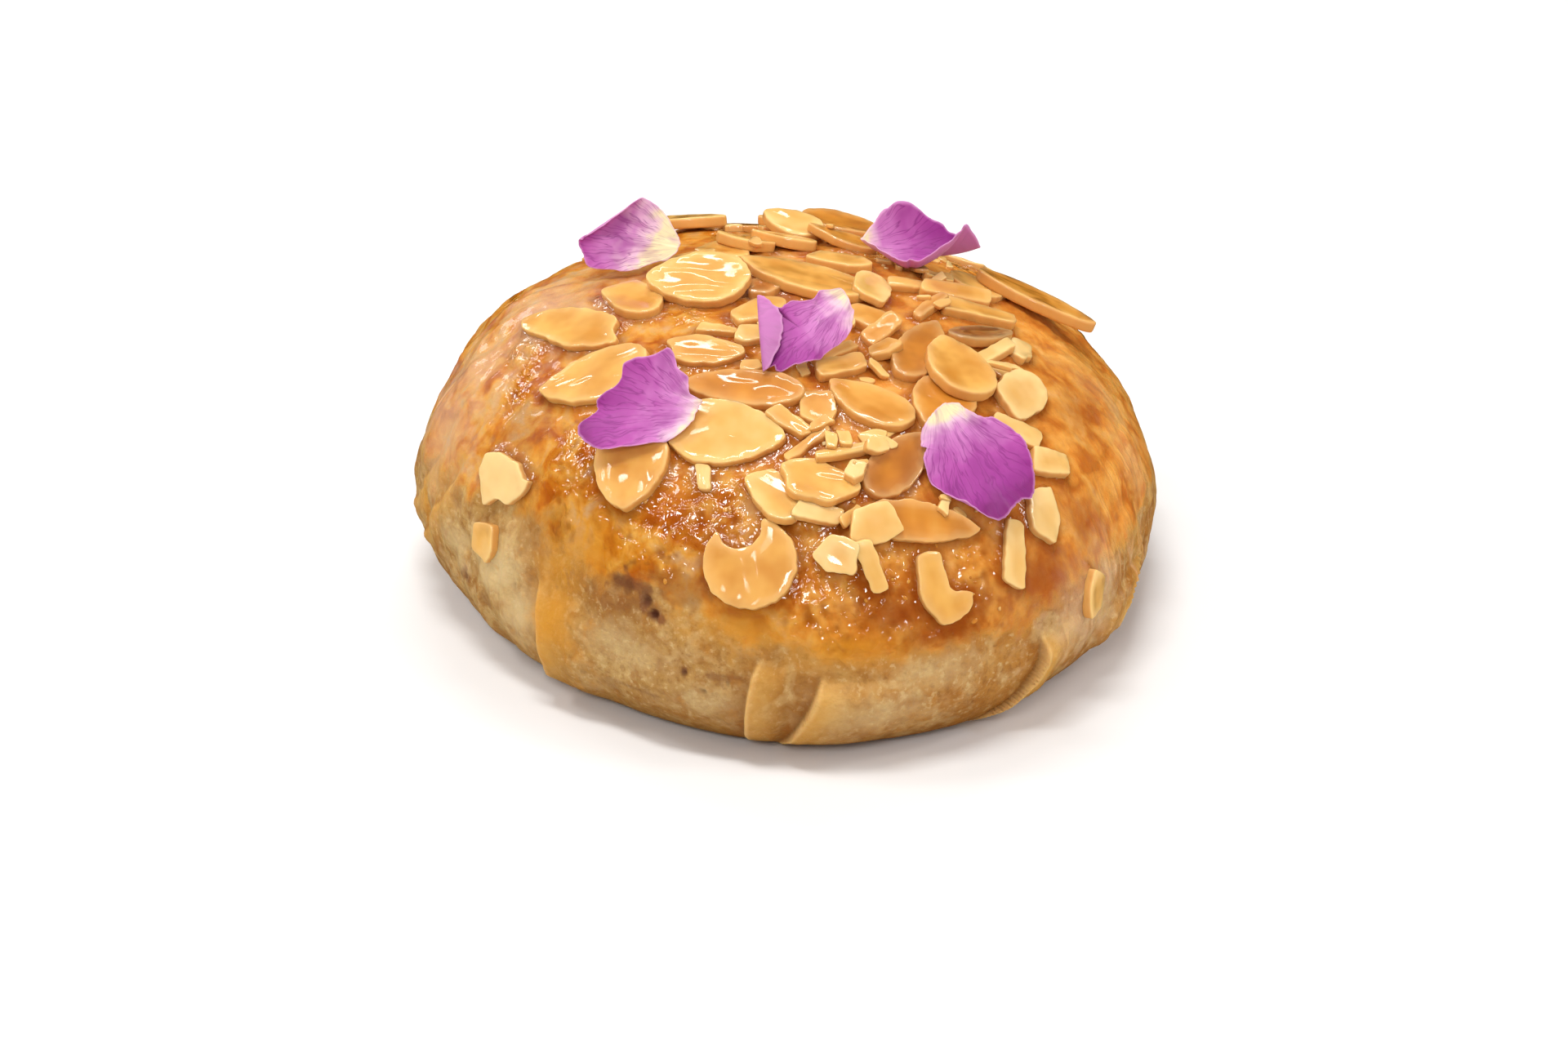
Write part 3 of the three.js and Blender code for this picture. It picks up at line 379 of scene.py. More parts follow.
# Petals, as in the solids: roll and tilts, dish, curls, and a rim of points right, up and proud.
# stem is where the veins start, and tone how much paler than the others a petal is.
PETAL_THICKNESS = 0.6
PETAL_RINGS = 4
PETALS = [
    {
        "roll": -9, "face": 52, "side": -10, "dish": 2, "curls": [(125, 3.3, 0.5)],
        "stem": (8.4, -1.4), "tone": 0.3,
        "rim": [
            (8.2, -1.5, 0.4), (7.8, 0.3, 0.4), (6.4, 2.8, 0.8), (4.8, 4.7, 1.2), (1.9, 6.3, 1.8),
            (-1.4, 4.6, 1.6), (-5.3, 2.1, 1.8), (-7.3, 0.5, 1.6), (-8.1, 0.1, 2.2), (-7.2, -2.8, 1.4),
            (-6.1, -4.9, 1), (-2.6, -5.3, 0.6), (0.4, -5.5, 0.6), (4, -4.2, 0.2), (6.7, -3.5, 0.2),
        ],
    },
    {
        "roll": 0, "face": 20, "side": 0, "dish": 3, "curls": [], "stem": (-8.6, -0.2), "tone": 0.02,
        "rim": [
            (10.7, 0, 2), (6.6, 2.4, 2.4), (4.4, 3.9, 3.6), (1.8, 5.3, 4.7), (-1.5, 6, 6),
            (-4.4, 5.3, 5.3), (-6.3, 3.5, 4.2), (-8.4, 0.5, 3.2), (-7.6, -1, 4.2), (-5, -4, 4.7),
            (-2.1, -6.3, 4.6), (-0.9, -6.4, 5.5), (0.9, -6.4, 4.9), (4.6, -4.4, 6.3), (7.3, -2.2, 7.5),
            (8.4, -1.3, 7.6),
        ],
    },
    {
        "roll": 0, "face": 35, "side": 0, "dish": 2, "curls": [(184, 6.1, 0.45)],
        "stem": (6.6, 5.8), "tone": 0.05,
        "rim": [
            (7.6, 1.8, 0.6), (7.3, 3.8, 0.8), (5.7, 6.7, 1), (3.1, 6.6, 1), (1.2, 4.7, 1.2),
            (-2, 4.4, 1.2), (-3.6, 3.2, 1.4), (-7.2, 5.4, 0.4), (-9.2, 4, 0.5), (-10.6, 1.3, 0.5),
            (-10.3, -1.7, 0.5), (-9.4, -4.2, 0.5), (-7, -7.6, 0.3), (-4.6, -6.6, 0.6), (-3.7, -7.4, 0.2),
            (-1.1, -6.4, 0.6), (1.6, -5.6, 0.6), (3.4, -3.7, -0.8), (6.6, -1, -0.4),
        ],
    },
    {
        "roll": -9, "face": 40, "side": -10, "dish": 2, "curls": [], "stem": (9, -1.6), "tone": 0,
        "rim": [
            (9.2, 0.6, 0.8), (7.2, 1.9, 0.8), (6.9, 4.2, 1.2), (5.4, 5.5, 1.6), (4.3, 8.4, 2.6),
            (1.3, 7.3, 2.4), (-2.5, 6.4, 2), (-3.5, 3.8, 1.2), (-6.8, 1.1, 0.2), (-6.8, -0.7, 0),
            (-9.2, -3.2, 1), (-8.6, -5.6, 1.4), (-6.3, -7.2, 1.6), (-3.2, -7.2, 1.4), (1.5, -6.4, 1),
            (5.1, -5.4, 0.6), (7.9, -2.6, 0.3), (8.5, -0.6, 0.3),
        ],
    },
    {
        "roll": 9, "face": 42, "side": 14, "dish": 2, "curls": [(-117, 6.7, 0.8)],
        "stem": (-5.6, 8.4), "tone": 0.04,
        "rim": [
            (8.2, 1.1, 0.2), (7.1, 3.7, 0.2), (5.1, 5.4, 0.3), (2.5, 6.8, 0.4), (0.6, 6.7, 0.5),
            (-1.8, 7.8, 0.6), (-2.9, 8.6, 0.6), (-5, 8.4, 0.4), (-6.8, 6.7, 0.3), (-8.2, 4.2, 0.2),
            (-8.4, 1.7, 0.2), (-7.6, 1.1, 0.2), (-8.2, -0.5, 0.2), (-6.9, -4.7, 0.2), (-5.2, -6.2, 0.2),
            (-2.4, -8, 0.2), (0.6, -9, 0.3), (3.6, -9.4, 0.6), (5.2, -7.6, 1.2), (6.6, -6.1, 1),
            (8.4, -5.4, 0.6), (8.7, -1.7, 0.2),
        ],
    },
]

# Finish of the petals: fineness, a rim that thins and frays, ruffles and wrinkles that fan out from the stem.
# FRAY has how much, the size of its lumps and its layer; RUFFLES also how near the rim they keep.
# LEAF_STEP sets the pattern of one petal apart from the next one's.
FINE_RINGS = 40
SPOKES_A_POINT = 9
FINE_THICKNESS = 0.32
RIM_THINNING = 0.6
RIM_THINNING_FALL = 4
PETAL_LENGTH = 18
NORMAL_STEP = 0.02
RIM_SPACING = 5
FRAY = [(0.0192, 2.1, 0), (0.016, 0.9, 1)]
FRAY_FALL = 12
RUFFLES = [(0.7, 5, 5, 3), (0.4, 9, 2.3, 4)]
WRINKLE_HEIGHT = 0.08
WRINKLE_LAYER = 2
WRINKLE_START = (0, 0.4)
FAN_AROUND = 9
FAN_ALONG = 1.5
STEM_BEHIND = 0.12
LEAF_STEP = 1.7

# Syrup drops and crumbs: how many, their sizes, and where the crumbs lie, by x, y and spread
DROPS = 120
DROP_SIZES = (0.2, 0.55)
DROP_SHRINKS = (0.5, 1)
DROP_LENGTHS = (1, 1.8)
DROP_RISE = 0.55
DROP_BEDDING = 0.08
DROP_SPREAD = 0.6
DROP_RINGS = 5
DROP_SIDES = 14
DROP_LIMIT = 0.985
DROP_GLAZE = 0.8
CRUMBS = 90
CRUMB_SIZES = (0.35, 1.1)
CRUMB_FORM = (1, 0.7, 0.5)
CRUMB_CORNERS = (0.55, 1)
CRUMB_TOASTS = (0, 0.45)
CRUMB_SPREAD = 0.7
CRUMB_LIFT = 0.15
CRUMB_SPOTS = [
    (5, -45, 5), (11, -44, 4), (24, -44, 5), (0, -38, 5), (28, -18, 6), (-7, -20, 6), (10, 15, 10),
    (0, 35, 14),
]

# Camera and studio, in millimetres and degrees
CAMERA_PLACE = (-0.9, -534.3, 284.9)
CAMERA_DIP = 27.19
CAMERA_YAW = 0.09
LENS = 85
SENSOR = 36
FLOOR_HALF = 1500
WORLD_COLOUR = (1, 0.985, 0.97, 1)
WORLD_STRENGTH = 0.25

# Soft lights: name, place, what it points at, size, power in watts, and whether it shows as highlights
LIGHTS = [
    ("front", (-120, -720, 520), (0, 0, 30), (260, 140), 1.9, True),
    ("key", (-80, -180, 830), (0, -10, 30), (380, 120), 3.2, True),
    ("top", (40, 400, 760), (0, -10, 40), (420, 90), 1.6, True),
    ("left", (-560, 40, 640), (0, 0, 30), (170, 150), 1.2, True),
    ("right", (560, -120, 560), (0, 0, 30), (140, 120), 0.7, True),
    ("back_left", (-560, 560, 400), (0, 0, 30), (200, 120), 0.7, True),
    ("left_fill", (-700, -200, 400), (0, 0, 25), (500, 500), 1.1, False),
    ("right_fill", (700, -250, 350), (0, 0, 25), (500, 500), 1.9, False),
    ("rear", (0, 700, 450), (0, 0, 40), (700, 250), 0.8, False),
]


# Small helpers

def smooth(low, high, value):
    share = np.clip((value - low) / (high - low), 0, 1)
    return share * share * (3 - 2 * share)


def bell(distance, width=1):
    return np.exp(-(distance / width) ** 2)


def wrapped(degrees):
    return (degrees + 180) % 360 - 180


def unit(vectors):
    return vectors / np.linalg.norm(vectors, axis=-1, keepdims=True)


def towards(heading):
    """How far one step at a heading in degrees goes right and ahead."""
    return math.cos(math.radians(heading)), math.sin(math.radians(heading))


def srgb(red, green, blue):
    """Linear colour from the 0 to 255 values that a picture shows."""
    def linear(value):
        value /= 255
        return value / 12.92 if value <= 0.04045 else ((value + 0.055) / 1.055) ** 2.4
    return (linear(red), linear(green), linear(blue), 1)


class Draw:
    """Seeded draws, the same ones as in the solids."""

    FACTOR = 1664525
    STEP = 1013904223
    RANGE = 2 ** 32

    def __init__(self, seed):
        self.state = seed

    def between(self, low, high):
        self.state = (self.state * self.FACTOR + self.STEP) % self.RANGE
        return low + (high - low) * self.state / self.RANGE


draw = Draw(SEED)
rng = np.random.default_rng(SEED)

NOISE_CELLS = 256
NOISE_LAYER_STEP = 17.3
NOISE_GAIN = 1.5
NOISE_ORDER = rng.permutation(NOISE_CELLS)
NOISE_SLOPES = unit(rng.normal(size=(NOISE_CELLS, 3)))


def noise(points, size, layer=0):
    """Smooth noise from about -1 to 1 with lumps of a given size; each layer is another field."""
    places = points / size + NOISE_LAYER_STEP * layer
    cell = np.floor(places).astype(int)
    part = places - cell
    ease = part ** 3 * (part * (6 * part - 15) + 10)
    total = np.zeros(len(points))
    for corner in product((0, 1), repeat=3):
        key = (cell + corner) % NOISE_CELLS
        index = NOISE_ORDER[(NOISE_ORDER[key[:, 0]] + key[:, 1]) % NOISE_CELLS]
        index = NOISE_ORDER[(index + key[:, 2]) % NOISE_CELLS]
        weight = np.prod(np.where(corner, ease, 1 - ease), axis=1)
        total += weight * np.sum(NOISE_SLOPES[index] * (part - corner), axis=1)
    return NOISE_GAIN * total


def uneven(kind, points):
    """The summed layers of one kind of unevenness."""
    return sum(amount * noise(points, size, layer) for amount, size, layer in UNEVEN[kind])


# The parcel's surface: (a, b) is (0, 0) at the top, 1 away at the waist, 1 + FOOT_SPAN at the foot

def reach_at(theta):
    lobes = [size * np.cos(order * (theta - math.radians(heading))) for order, size, heading in LOBES]
    return PARCEL_RADIUS * (1 + sum(lobes))


def bare_point(a, b):
    along = np.hypot(a, b)
    theta = np.arctan2(b, a)
    reach = reach_at(theta)
    turn = np.clip((along - 1) / FOOT_SPAN, 0, 1) * math.pi / 2
    inset = np.maximum(np.cos(turn), 0) ** (2 / FOOT_ROUNDNESS)
    share = np.sin(np.minimum(along, 1) * math.pi / 2)
    radius = np.where(along > 1, reach * (FOOT_SHARE + (1 - FOOT_SHARE) * inset), reach * share)
    x = radius * np.cos(theta)
    y = radius * np.sin(theta)
    rise = np.maximum(1 - share ** CROWN_SQUARENESS, 0) ** (1 / CROWN_FULLNESS)
    crown = WAIST_HEIGHT + CROWN_HEIGHT * rise * (1 - CROWN_LEAN * x / PARCEL_RADIUS)
    z = np.where(along > 1, WAIST_HEIGHT * (1 - np.sin(turn)), crown)
    return np.stack([x, y, z], axis=-1)


def slopes_of(surface, a, b):
    along_a = (surface(a + SLOPE_STEP, b) - surface(a - SLOPE_STEP, b)) / (2 * SLOPE_STEP)
    along_b = (surface(a, b + SLOPE_STEP) - surface(a, b - SLOPE_STEP)) / (2 * SLOPE_STEP)
    return along_a, along_b


def normal_of(slopes):
    return unit(np.cross(*slopes))


def outward_at(a, b):
    outward = normal_of(slopes_of(bare_point, a, b))
    outward[..., 2] = np.maximum(outward[..., 2], 0)
    return unit(outward)


def lumps(points):
    x, y, z = np.moveaxis(points / LUMP_SPACING, -1, 0)
    broad = np.sin(0.9 * x + 1.1 * z) * np.cos(y - 1)
    fine = np.sin(1.9 * y + 2) * np.cos(1.6 * x - 2 * z)
    return LUMP_HEIGHT * (broad + fine / 2) * smooth(0, SMOOTH_FOOT, points[..., 2])


def skin(a, b):
    point = bare_point(a, b)
    return point + outward_at(a, b) * lumps(point)[..., None]


def surface_place(x, y):
    theta = np.arctan2(y, x)
    share = np.minimum(np.hypot(x, y) / reach_at(theta), 1)
    along = np.arcsin(share) * 2 / math.pi
    return along * np.cos(theta), along * np.sin(theta)


# Almond outlines, counter-clockwise, with the tip or the whole end towards +X

def ring(count):
    return np.arange(count) / count * 2 * math.pi


def slice_outline(length, width, sides):
    turn = ring(sides)
    taper = 1.15 * np.sqrt(np.sin(turn / 2))
    return np.stack([length / 2 * np.cos(turn), width / 2 * np.sin(turn) * taper], axis=1)


def half_outline(length, width):
    turn = np.radians(np.linspace(-80, 80, 7))
    round_end = np.stack([length * (0.05 + 0.45 * np.cos(turn)), width / 2 * np.sin(turn)], axis=1)
    near = [(-0.5 * length, -0.42 * width)]
    far = [(-0.4 * length, 0.44 * width)]
    return np.concatenate([near, round_end, far])


def stick_outline(length, width):
    return np.array([
        (-0.5 * length, -0.5 * width),
        (0.5 * length - 0.2 * width, -0.45 * width),
        (0.5 * length, 0.4 * width),
        (-0.5 * length + 0.3 * width, 0.5 * width),
    ])


def ragged_outline(length, width):
    turn = ring(11)
    reach = 0.5 * (1 + 0.1 * np.sin(3 * turn + 1) + 0.1 * np.sin(5 * turn))
    return np.stack([length * reach * np.cos(turn), width * reach * np.sin(turn)], axis=1)


def bitten_outline(length, width):
    turn = np.radians(np.linspace(42, 346, 12))
    outer = np.stack([length / 2 * np.cos(turn), width / 2 * np.sin(turn)], axis=1)
    turn = np.radians(-107 - 40 * np.arange(4))
    bite = np.stack([length * (0.385 + 0.25 * np.cos(turn)), width * (0.11 + 0.24 * np.sin(turn))], axis=1)
    return np.concatenate([outer, bite])


OUTLINES = {"half": half_outline, "stick": stick_outline, "ragged": ragged_outline, "bitten": bitten_outline}
CORNERS = {
    "chip": [(-0.5, -0.3), (-0.05, -0.5), (0.5, -0.25), (0.3, 0.5), (-0.35, 0.4)],
    "boot": [
        (-0.5, -0.3), (0.1, -0.5), (0.5, -0.25), (0.46, 0.28), (0.22, 0.5), (0.08, 0.08), (-0.45, 0.16),
    ],
    "shard": [
        (-0.45, -0.03), (-0.16, -0.5), (0, -0.27), (0.25, -0.23), (0.45, 0.04), (0.5, 0.35), (0.37, 0.3),
        (0.18, 0.48), (-0.28, 0.44), (-0.5, 0.3),
    ],
}


def flake_outline(shape, length, width, sides):
    """The outline of any flake; only a whole slice has a choice of sides."""
    if shape == "slice":
        return slice_outline(length, width, sides)
    if shape in CORNERS:
        return np.array(CORNERS[shape]) * (length, width)
    return OUTLINES[shape](length, width)


def outline_distance(outline, places):
    """Distance of each place from a closed outline, negative inside it."""
    start = outline
    end = np.roll(outline, -1, axis=0)
    edge = end - start
    offset = places[:, None] - start
    share = np.clip(np.sum(offset * edge, axis=2) / np.sum(edge ** 2, axis=1), 0, 1)
    gap = np.linalg.norm(offset - share[..., None] * edge, axis=2).min(axis=1)
    level = places[:, 1, None]
    crosses = (start[:, 1] > level) != (end[:, 1] > level)
    run = np.where(edge[:, 1] == 0, 1, edge[:, 1])
    where = start[:, 0] + (level - start[:, 1]) / run * edge[:, 0]
    inside = np.sum(crosses & (places[:, 0, None] < where), axis=1) % 2 == 1
    return np.where(inside, -gap, gap)


# Seating the almonds, as in the solids

def seat_frame(x, y, heading):
    a, b = surface_place(x, y)
    slopes = slopes_of(skin, a, b)
    up = normal_of(slopes_of(bare_point, a, b))
    theta = math.atan2(y, x)
    around = np.array([-math.sin(theta), math.cos(theta), 0])
    around = unit(around - up * np.dot(around, up))
    outward = np.cross(around, up)
    turn = math.radians(heading) - theta
    along = outward * math.cos(turn) + around * math.sin(turn)
    across = np.cross(up, along)
    return {
        "place": (a, b), "slopes": slopes, "origin": skin(a, b), "up": up, "along": along, "across": across,
    }


def parcel_heights(seat, places):
    slope_a, slope_b = seat["slopes"]
    ua, ub = slope_a @ seat["along"], slope_b @ seat["along"]
    va, vb = slope_a @ seat["across"], slope_b @ seat["across"]
    area = ua * vb - ub * va
    a = np.full(len(places), seat["place"][0])
    b = np.full(len(places), seat["place"][1])
    reached = skin(a, b)
    for _ in range(SEAT_ROUNDS):
        offset = reached - seat["origin"]
        du = places[:, 0] - offset @ seat["along"]
        dv = places[:, 1] - offset @ seat["across"]
        a = a + (vb * du - ub * dv) / area
        b = b + (ua * dv - va * du) / area
        reached = skin(a, b)
    return (reached - seat["origin"]) @ seat["up"]


def almond_heights(almond, seat, places):
    start = seat["origin"] + places[:, :1] * seat["along"] + places[:, 1:] * seat["across"]
    rate = seat["up"] @ almond["up"]
    if rate < LEAST_FACING:
        return np.full(len(places), -np.inf)
    heights = (almond["top"] - start) @ almond["up"] / rate
    hits = start + heights[:, None] * seat["up"] - almond["top"]
    flat = np.stack([hits @ almond["along"], hits @ almond["across"]], axis=1)
    return np.where(outline_distance(almond["seat_outline"], flat) < 0, heights, -np.inf)


def rest_height(places, heights, slope):
    return np.max(heights - places @ slope)


def rest_tilt(places, heights):
    best = np.zeros(2)
    lowest = rest_height(places, heights, best)
    steps = np.array([(1, 0), (-1, 0), (0, 1), (0, -1), (1, 1), (-1, -1), (1, -1), (-1, 1)])
    size = TILT_STEP
    while size > LAST_TILT_STEP:
        moved = True
        while moved:
            moved = False
            for step in steps:
                slope = best + step * size
                height = rest_height(places, heights, slope)
                if math.hypot(*slope) > STEEPEST_REST or height > lowest - LEAST_GAIN:
                    continue
                best, lowest, moved = slope, height, True
        size /= 2
    return best, lowest


def seat_almond(row, seated, thickness=ALMOND_THICKNESS):
    shape, x, y, length, width, heading, toast, *lean = row
    outline = flake_outline(shape, length, width, SLICE_SIDES)
    seat = seat_frame(x, y, heading)
    places = np.concatenate([outline, outline / 2, [(0, 0)]])
    heights = parcel_heights(seat, places)
    for other in seated:
        if np.linalg.norm(other["top"] - seat["origin"]) < (length + other["length"]) / 2 + NEIGHBOUR_MARGIN:
            heights = np.maximum(heights, almond_heights(other, seat, places))
    slope, height = rest_tilt(places, heights)
    if lean:
        slope = np.array(lean[0])
        height = rest_height(places, heights, slope)
    up = unit(seat["up"] - seat["along"] * slope[0] - seat["across"] * slope[1])
    along = unit(seat["along"] - up * (seat["along"] @ up))
    across = np.cross(up, along)
    base = seat["origin"] + seat["up"] * height - up * ALMOND_BEDDING
    return {
        "shape": shape, "length": length, "width": width, "toast": toast, "seat_outline": outline,
        "up": up, "along": along, "across": across, "base": base, "top": base + up * thickness,
        "thickness": thickness,
    }


def back_almond_rows():
    golden_turn = math.pi * (3 - math.sqrt(5))
    rows = []
    for index in range(BACK_SPIRAL):
        radius = BACK_FARTHEST * math.sqrt(1 - index / BACK_SPIRAL)
        x = radius * math.cos(index * golden_turn)
        y = radius * math.sin(index * golden_turn)
        if y < BACK_NEAREST or abs(x) > y - BACK_MARGIN:
            continue
        shape = BACK_SHAPES[len(rows) % len(BACK_SHAPES)]
        lengths, widths = BACK_SMALL if shape in BIT_SHAPES else BACK_LARGE
        length = draw.between(*lengths)
        width = draw.between(*widths)
        toast = BACK_TOASTS[len(rows) % len(BACK_TOASTS)]
        rows.append((shape, x, y, length, width, draw.between(0, 360), toast))
    return rows


def seat_all_almonds():
    seated = []
    for row in ALMONDS + back_almond_rows():
        seated.append(seat_almond(row, seated))
    return seated


def seat_bits(seated):
    """Small broken almond, seated on whatever lies under it."""
    bits = []
    middle = np.zeros((1, 2))
    for number in range(BITS):
        x, y, spread = BIT_SPOTS[number % len(BIT_SPOTS)]
        x, y = np.array([x, y]) + rng.normal(size=2) * spread
        shape = BIT_SHAPES[number % len(BIT_SHAPES)]
        length = rng.uniform(*BIT_LENGTHS)
        width = length * rng.uniform(*BIT_WIDTHS)
        row = (shape, x, y, length, width, rng.uniform(0, 360), rng.uniform(*BIT_TOASTS))
        seat = seat_frame(x, y, 0)
        if not any(np.isfinite(almond_heights(other, seat, middle)[0]) for other in seated):
            bits.append(seat_almond(row, seated + bits, BIT_THICKNESS))
    return bits


def back_folds():
    folds = []
    for index in range(BACK_FOLDS):
        heading = BACK_FOLD_START + BACK_FOLD_PITCH * index + draw.between(*BACK_FOLD_WANDER)
        top = draw.between(*BACK_FOLD_TOPS)
        headings = (heading, *(heading + draw.between(*lean) for lean in BACK_FOLD_LEANS))
        proud = draw.between(*BACK_FOLD_PROUDS)
        reach = draw.between(*BACK_FOLD_REACHES)
        folds.append((headings, (top, top / 2, FOLD_FOOT), proud, reach, 1 if index % 2 else -1))
    return folds


# Outlines made fine: corners cut, evenly spaced points, a little unevenness

def cut_corners(outline, share):
    following = np.roll(outline, -1, axis=0)
    near = outline + (following - outline) * share
    far = following - (following - outline) * share
    return np.stack([near, far], axis=1).reshape(-1, 2)


def evenly_spaced(outline, spacing):
    closed = np.concatenate([outline, outline[:1]])
    steps = np.linalg.norm(np.diff(closed, axis=0), axis=1)
    distance = np.concatenate([[0], np.cumsum(steps)])
    count = max(FEWEST_POINTS, round(distance[-1] / spacing))
    wanted = np.arange(count) / count * distance[-1]
    return np.stack([np.interp(wanted, distance, closed[:, axis]) for axis in (0, 1)], axis=1)


def outline_normals(outline):
    run = np.roll(outline, -1, axis=0) - np.roll(outline, 1, axis=0)
    return unit(np.stack([run[:, 1], -run[:, 0]], axis=1))


def fine_outline(almond, layer):
    shape = almond["shape"]
    outline = flake_outline(shape, almond["length"], almond["width"], FINE_SIDES)
    for share in (CORNER_CUTS[shape], *LATER_CUTS):
        outline = cut_corners(outline, share)
    outline = evenly_spaced(outline, ALMOND_SPACING)
    flat = np.column_stack([outline, np.zeros(len(outline))])
    ragged = sum(amount * noise(flat, size, layer) for amount, size in RAGGED_RIM)
    return outline + outline_normals(outline) * ragged[:, None]


# Meshes

def band(near, far, count):
    """Quads between two closed rings of points, from the numbers of their first points."""
    order = np.arange(count)
    following = np.roll(order, -1)
    return np.stack([near + order, far + order, far + following, near + following], axis=1).tolist()


def mesh_piece(name, material, points, faces, values=None):
    """A mesh object from points in millimetres, with named values at its points."""
    mesh = bpy.data.meshes.new(name)
    mesh.from_pydata((np.asarray(points) * MM).tolist(), [], faces)
    mesh.polygons.foreach_set("use_smooth", np.ones(len(mesh.polygons), dtype=bool))
    for key, numbers in (values or {}).items():
        layer = mesh.attributes.new(key, "FLOAT", "POINT")
        layer.data.foreach_set("value", np.asarray(numbers, dtype=np.float32))
    mesh.materials.append(material)
    mesh.update()
    piece = bpy.data.objects.new(name, mesh)
    bpy.context.collection.objects.link(piece)
    return piece


# Pastry relief: folds, syrup, bubbles, wrinkles and pits, all as heights over the skin

def edge_heading(headings, heights, z):
    top, middle, foot = heights
    at_top = (z - middle) * (z - foot) / ((top - middle) * (top - foot))
    at_middle = (z - top) * (z - foot) / ((middle - top) * (middle - foot))
    at_foot = (z - top) * (z - middle) / ((foot - top) * (foot - middle))
    return headings[0] * at_top + headings[1] * at_middle + headings[2] * at_foot


def fold_relief(folds, points, heading):
    """Lift of the flaps, and how much each point lies on a flap's strip, in the painted shade of its crease
    and in the painted highlight of its lip.
    """
    z = points[:, 2]
    lift, strip, crease_shade, lip_highlight = np.zeros((4, len(points)))
    waver = uneven("fold_edge", points)
    for headings, heights, proud, reach, side in folds:
        top, _, foot = heights
        soft = top > SOFT_FOLD_TOP or proud < SOFT_FOLD_PROUD
        half_edge = SOFT_FOLD_EDGE if soft else FOLD_EDGE
        crease_shade_width = SOFT_CREASE_SHADE_WIDTH if soft else CREASE_SHADE_WIDTH
        level = np.clip(z, foot - FOLD_RUN_OUT, top + FOLD_RUN_OUT)
        turn = wrapped(heading - edge_heading(headings, heights, level))
        distance = side * np.radians(turn) * PARCEL_RADIUS + waver
        down = (top - z) / (top - foot)
        strength = smooth(*FOLD_TOP_FADE, down) * smooth(*FOLD_FOOT_FADE, down)
        section = np.interp(np.clip(distance / reach, 0, 1), *FOLD_SECTION)
        flap = np.maximum((proud + FOLD_SINK) * strength * section - FOLD_SINK, 0)
        flap = flap * smooth(-half_edge, half_edge, distance) * (distance < reach)
        flap = flap * (SOFT_FOLD_SHARE if soft else 1)
        crisp = strength * FOLD_EDGE / half_edge
        edge = crisp * bell(distance - LIP_PLACE, LIP_WIDTH)
        gully = crisp * bell(distance - GULLY_PLACE, GULLY_WIDTH) * (distance < GULLY_END)
        lift = np.maximum(flap + LIP_HEIGHT * edge, lift) - GULLY_DEPTH * gully
        bold = strength * min(proud / BOLD_FOLD, BOLDEST)
        on_flap = smooth(*STRIP_START, distance) * bell(np.maximum(distance, 0), STRIP_WIDTH)
        strip = np.maximum(strip, bold * on_flap)
        # painted shade in the crease beside the free edge, where the flap does not cover it
        beside = smooth(*CREASE_SHADE_END, distance) * np.exp(-np.maximum(-distance, 0) / crease_shade_width)
        covered = strength * smooth(*CREASE_SHADE_COVER, distance) * (distance < CREASE_SHADE_COVER_WIDTH)
        crease_shade = np.maximum(crease_shade * (1 - covered), bold * beside)
        # painted highlight along the flap's lip
        lip_highlight = np.maximum(lip_highlight, edge)
    return lift, strip, crease_shade, lip_highlight


def stain_shares(points, heading):
    """How strongly each kind of stain, and the painted sheen of the blush, shows at each point."""
    warp = uneven("stain", points)
    radius = np.hypot(points[:, 0], points[:, 1])
    shares = {}
    for kind, stains in STAINS.items():
        share = np.zeros(len(points))
        for at, height, wide, tall, strength in stains:
            aside = np.radians(wrapped(heading - at)) * radius / wide
            away = np.hypot(aside, (points[:, 2] - height) / tall) * (1 + warp)
            spread = smooth(*CRISP_SPREAD, away) if kind in CRISP_STAINS else bell(away)
            share = np.maximum(share, strength * spread)
        shares[kind] = share
    return shares


def unrolled(points, heading, length):
    """Places on the wall laid flat, on which lumps come out drawn down it to so many times their size."""
    around = np.radians(heading) * PARCEL_RADIUS
    return np.column_stack([around, points[:, 2] / length, np.zeros(len(points))])


def streak_share(points, heading):
    """Pale wrinkles that run down the right-hand side."""
    inside = np.ones(len(points))
    for fades, values in ((STREAK_SIDES, heading), (STREAK_ENDS, points[:, 2])):
        for fade in fades:
            inside = inside * smooth(*fade, values)
    along = unrolled(points, heading, STREAK_LENGTH)
    along[:, 0] += uneven("streak_sway", points)
    ridges = 1 - np.abs(uneven("streak_ridge", along)) / STREAK_THINNESS
    return inside * np.clip(ridges, 0, 1) * smooth(*STREAK_GAPS, uneven("streak_gap", points))


def glaze_share(points, heading):
    edge = np.array(GLAZE_EDGE)
    level = np.interp(heading, edge[:, 0], edge[:, 1], period=360)
    runs = uneven("glaze_runs", unrolled(points, heading, RUN_LENGTH))
    return smooth(-GLAZE_FADE, GLAZE_FADE, points[:, 2] + uneven("glaze_edge", points) + runs - level)


def wet_share(points):
    wet = np.zeros(len(points))
    for x, y, radius in WET_SPOTS:
        wet = np.maximum(wet, bell(np.hypot(points[:, 0] - x, points[:, 1] - y), radius))
    patches, back = WET_BEHIND
    behind = smooth(*patches, uneven("wet_behind", points)) * smooth(*back, points[:, 1])
    return np.maximum(wet, behind)


def wall_point(heading, z):
    """The point of the bare surface at a heading and a height."""
    right, ahead = towards(heading)
    low, high = 0, 1 + FOOT_SPAN
    for _ in range(HALVINGS):
        middle = (low + high) / 2
        if bare_point(middle * right, middle * ahead)[2] > z:
            low = middle
        else:
            high = middle
    return bare_point(low * right, low * ahead)


def pit_relief(points):
    depth = np.zeros(len(points))
    spot = np.zeros(len(points))
    warp = 1 + uneven("pit", points)
    for heading, z, radius, deep in PITS:
        gap = np.linalg.norm(points - wall_point(heading, z), axis=1) * warp / radius
        depth = np.maximum(depth, deep * bell(gap))
        spot = np.maximum(spot, min(deep, 1) * smooth(*PIT_SPREAD, gap))
    return depth, spot


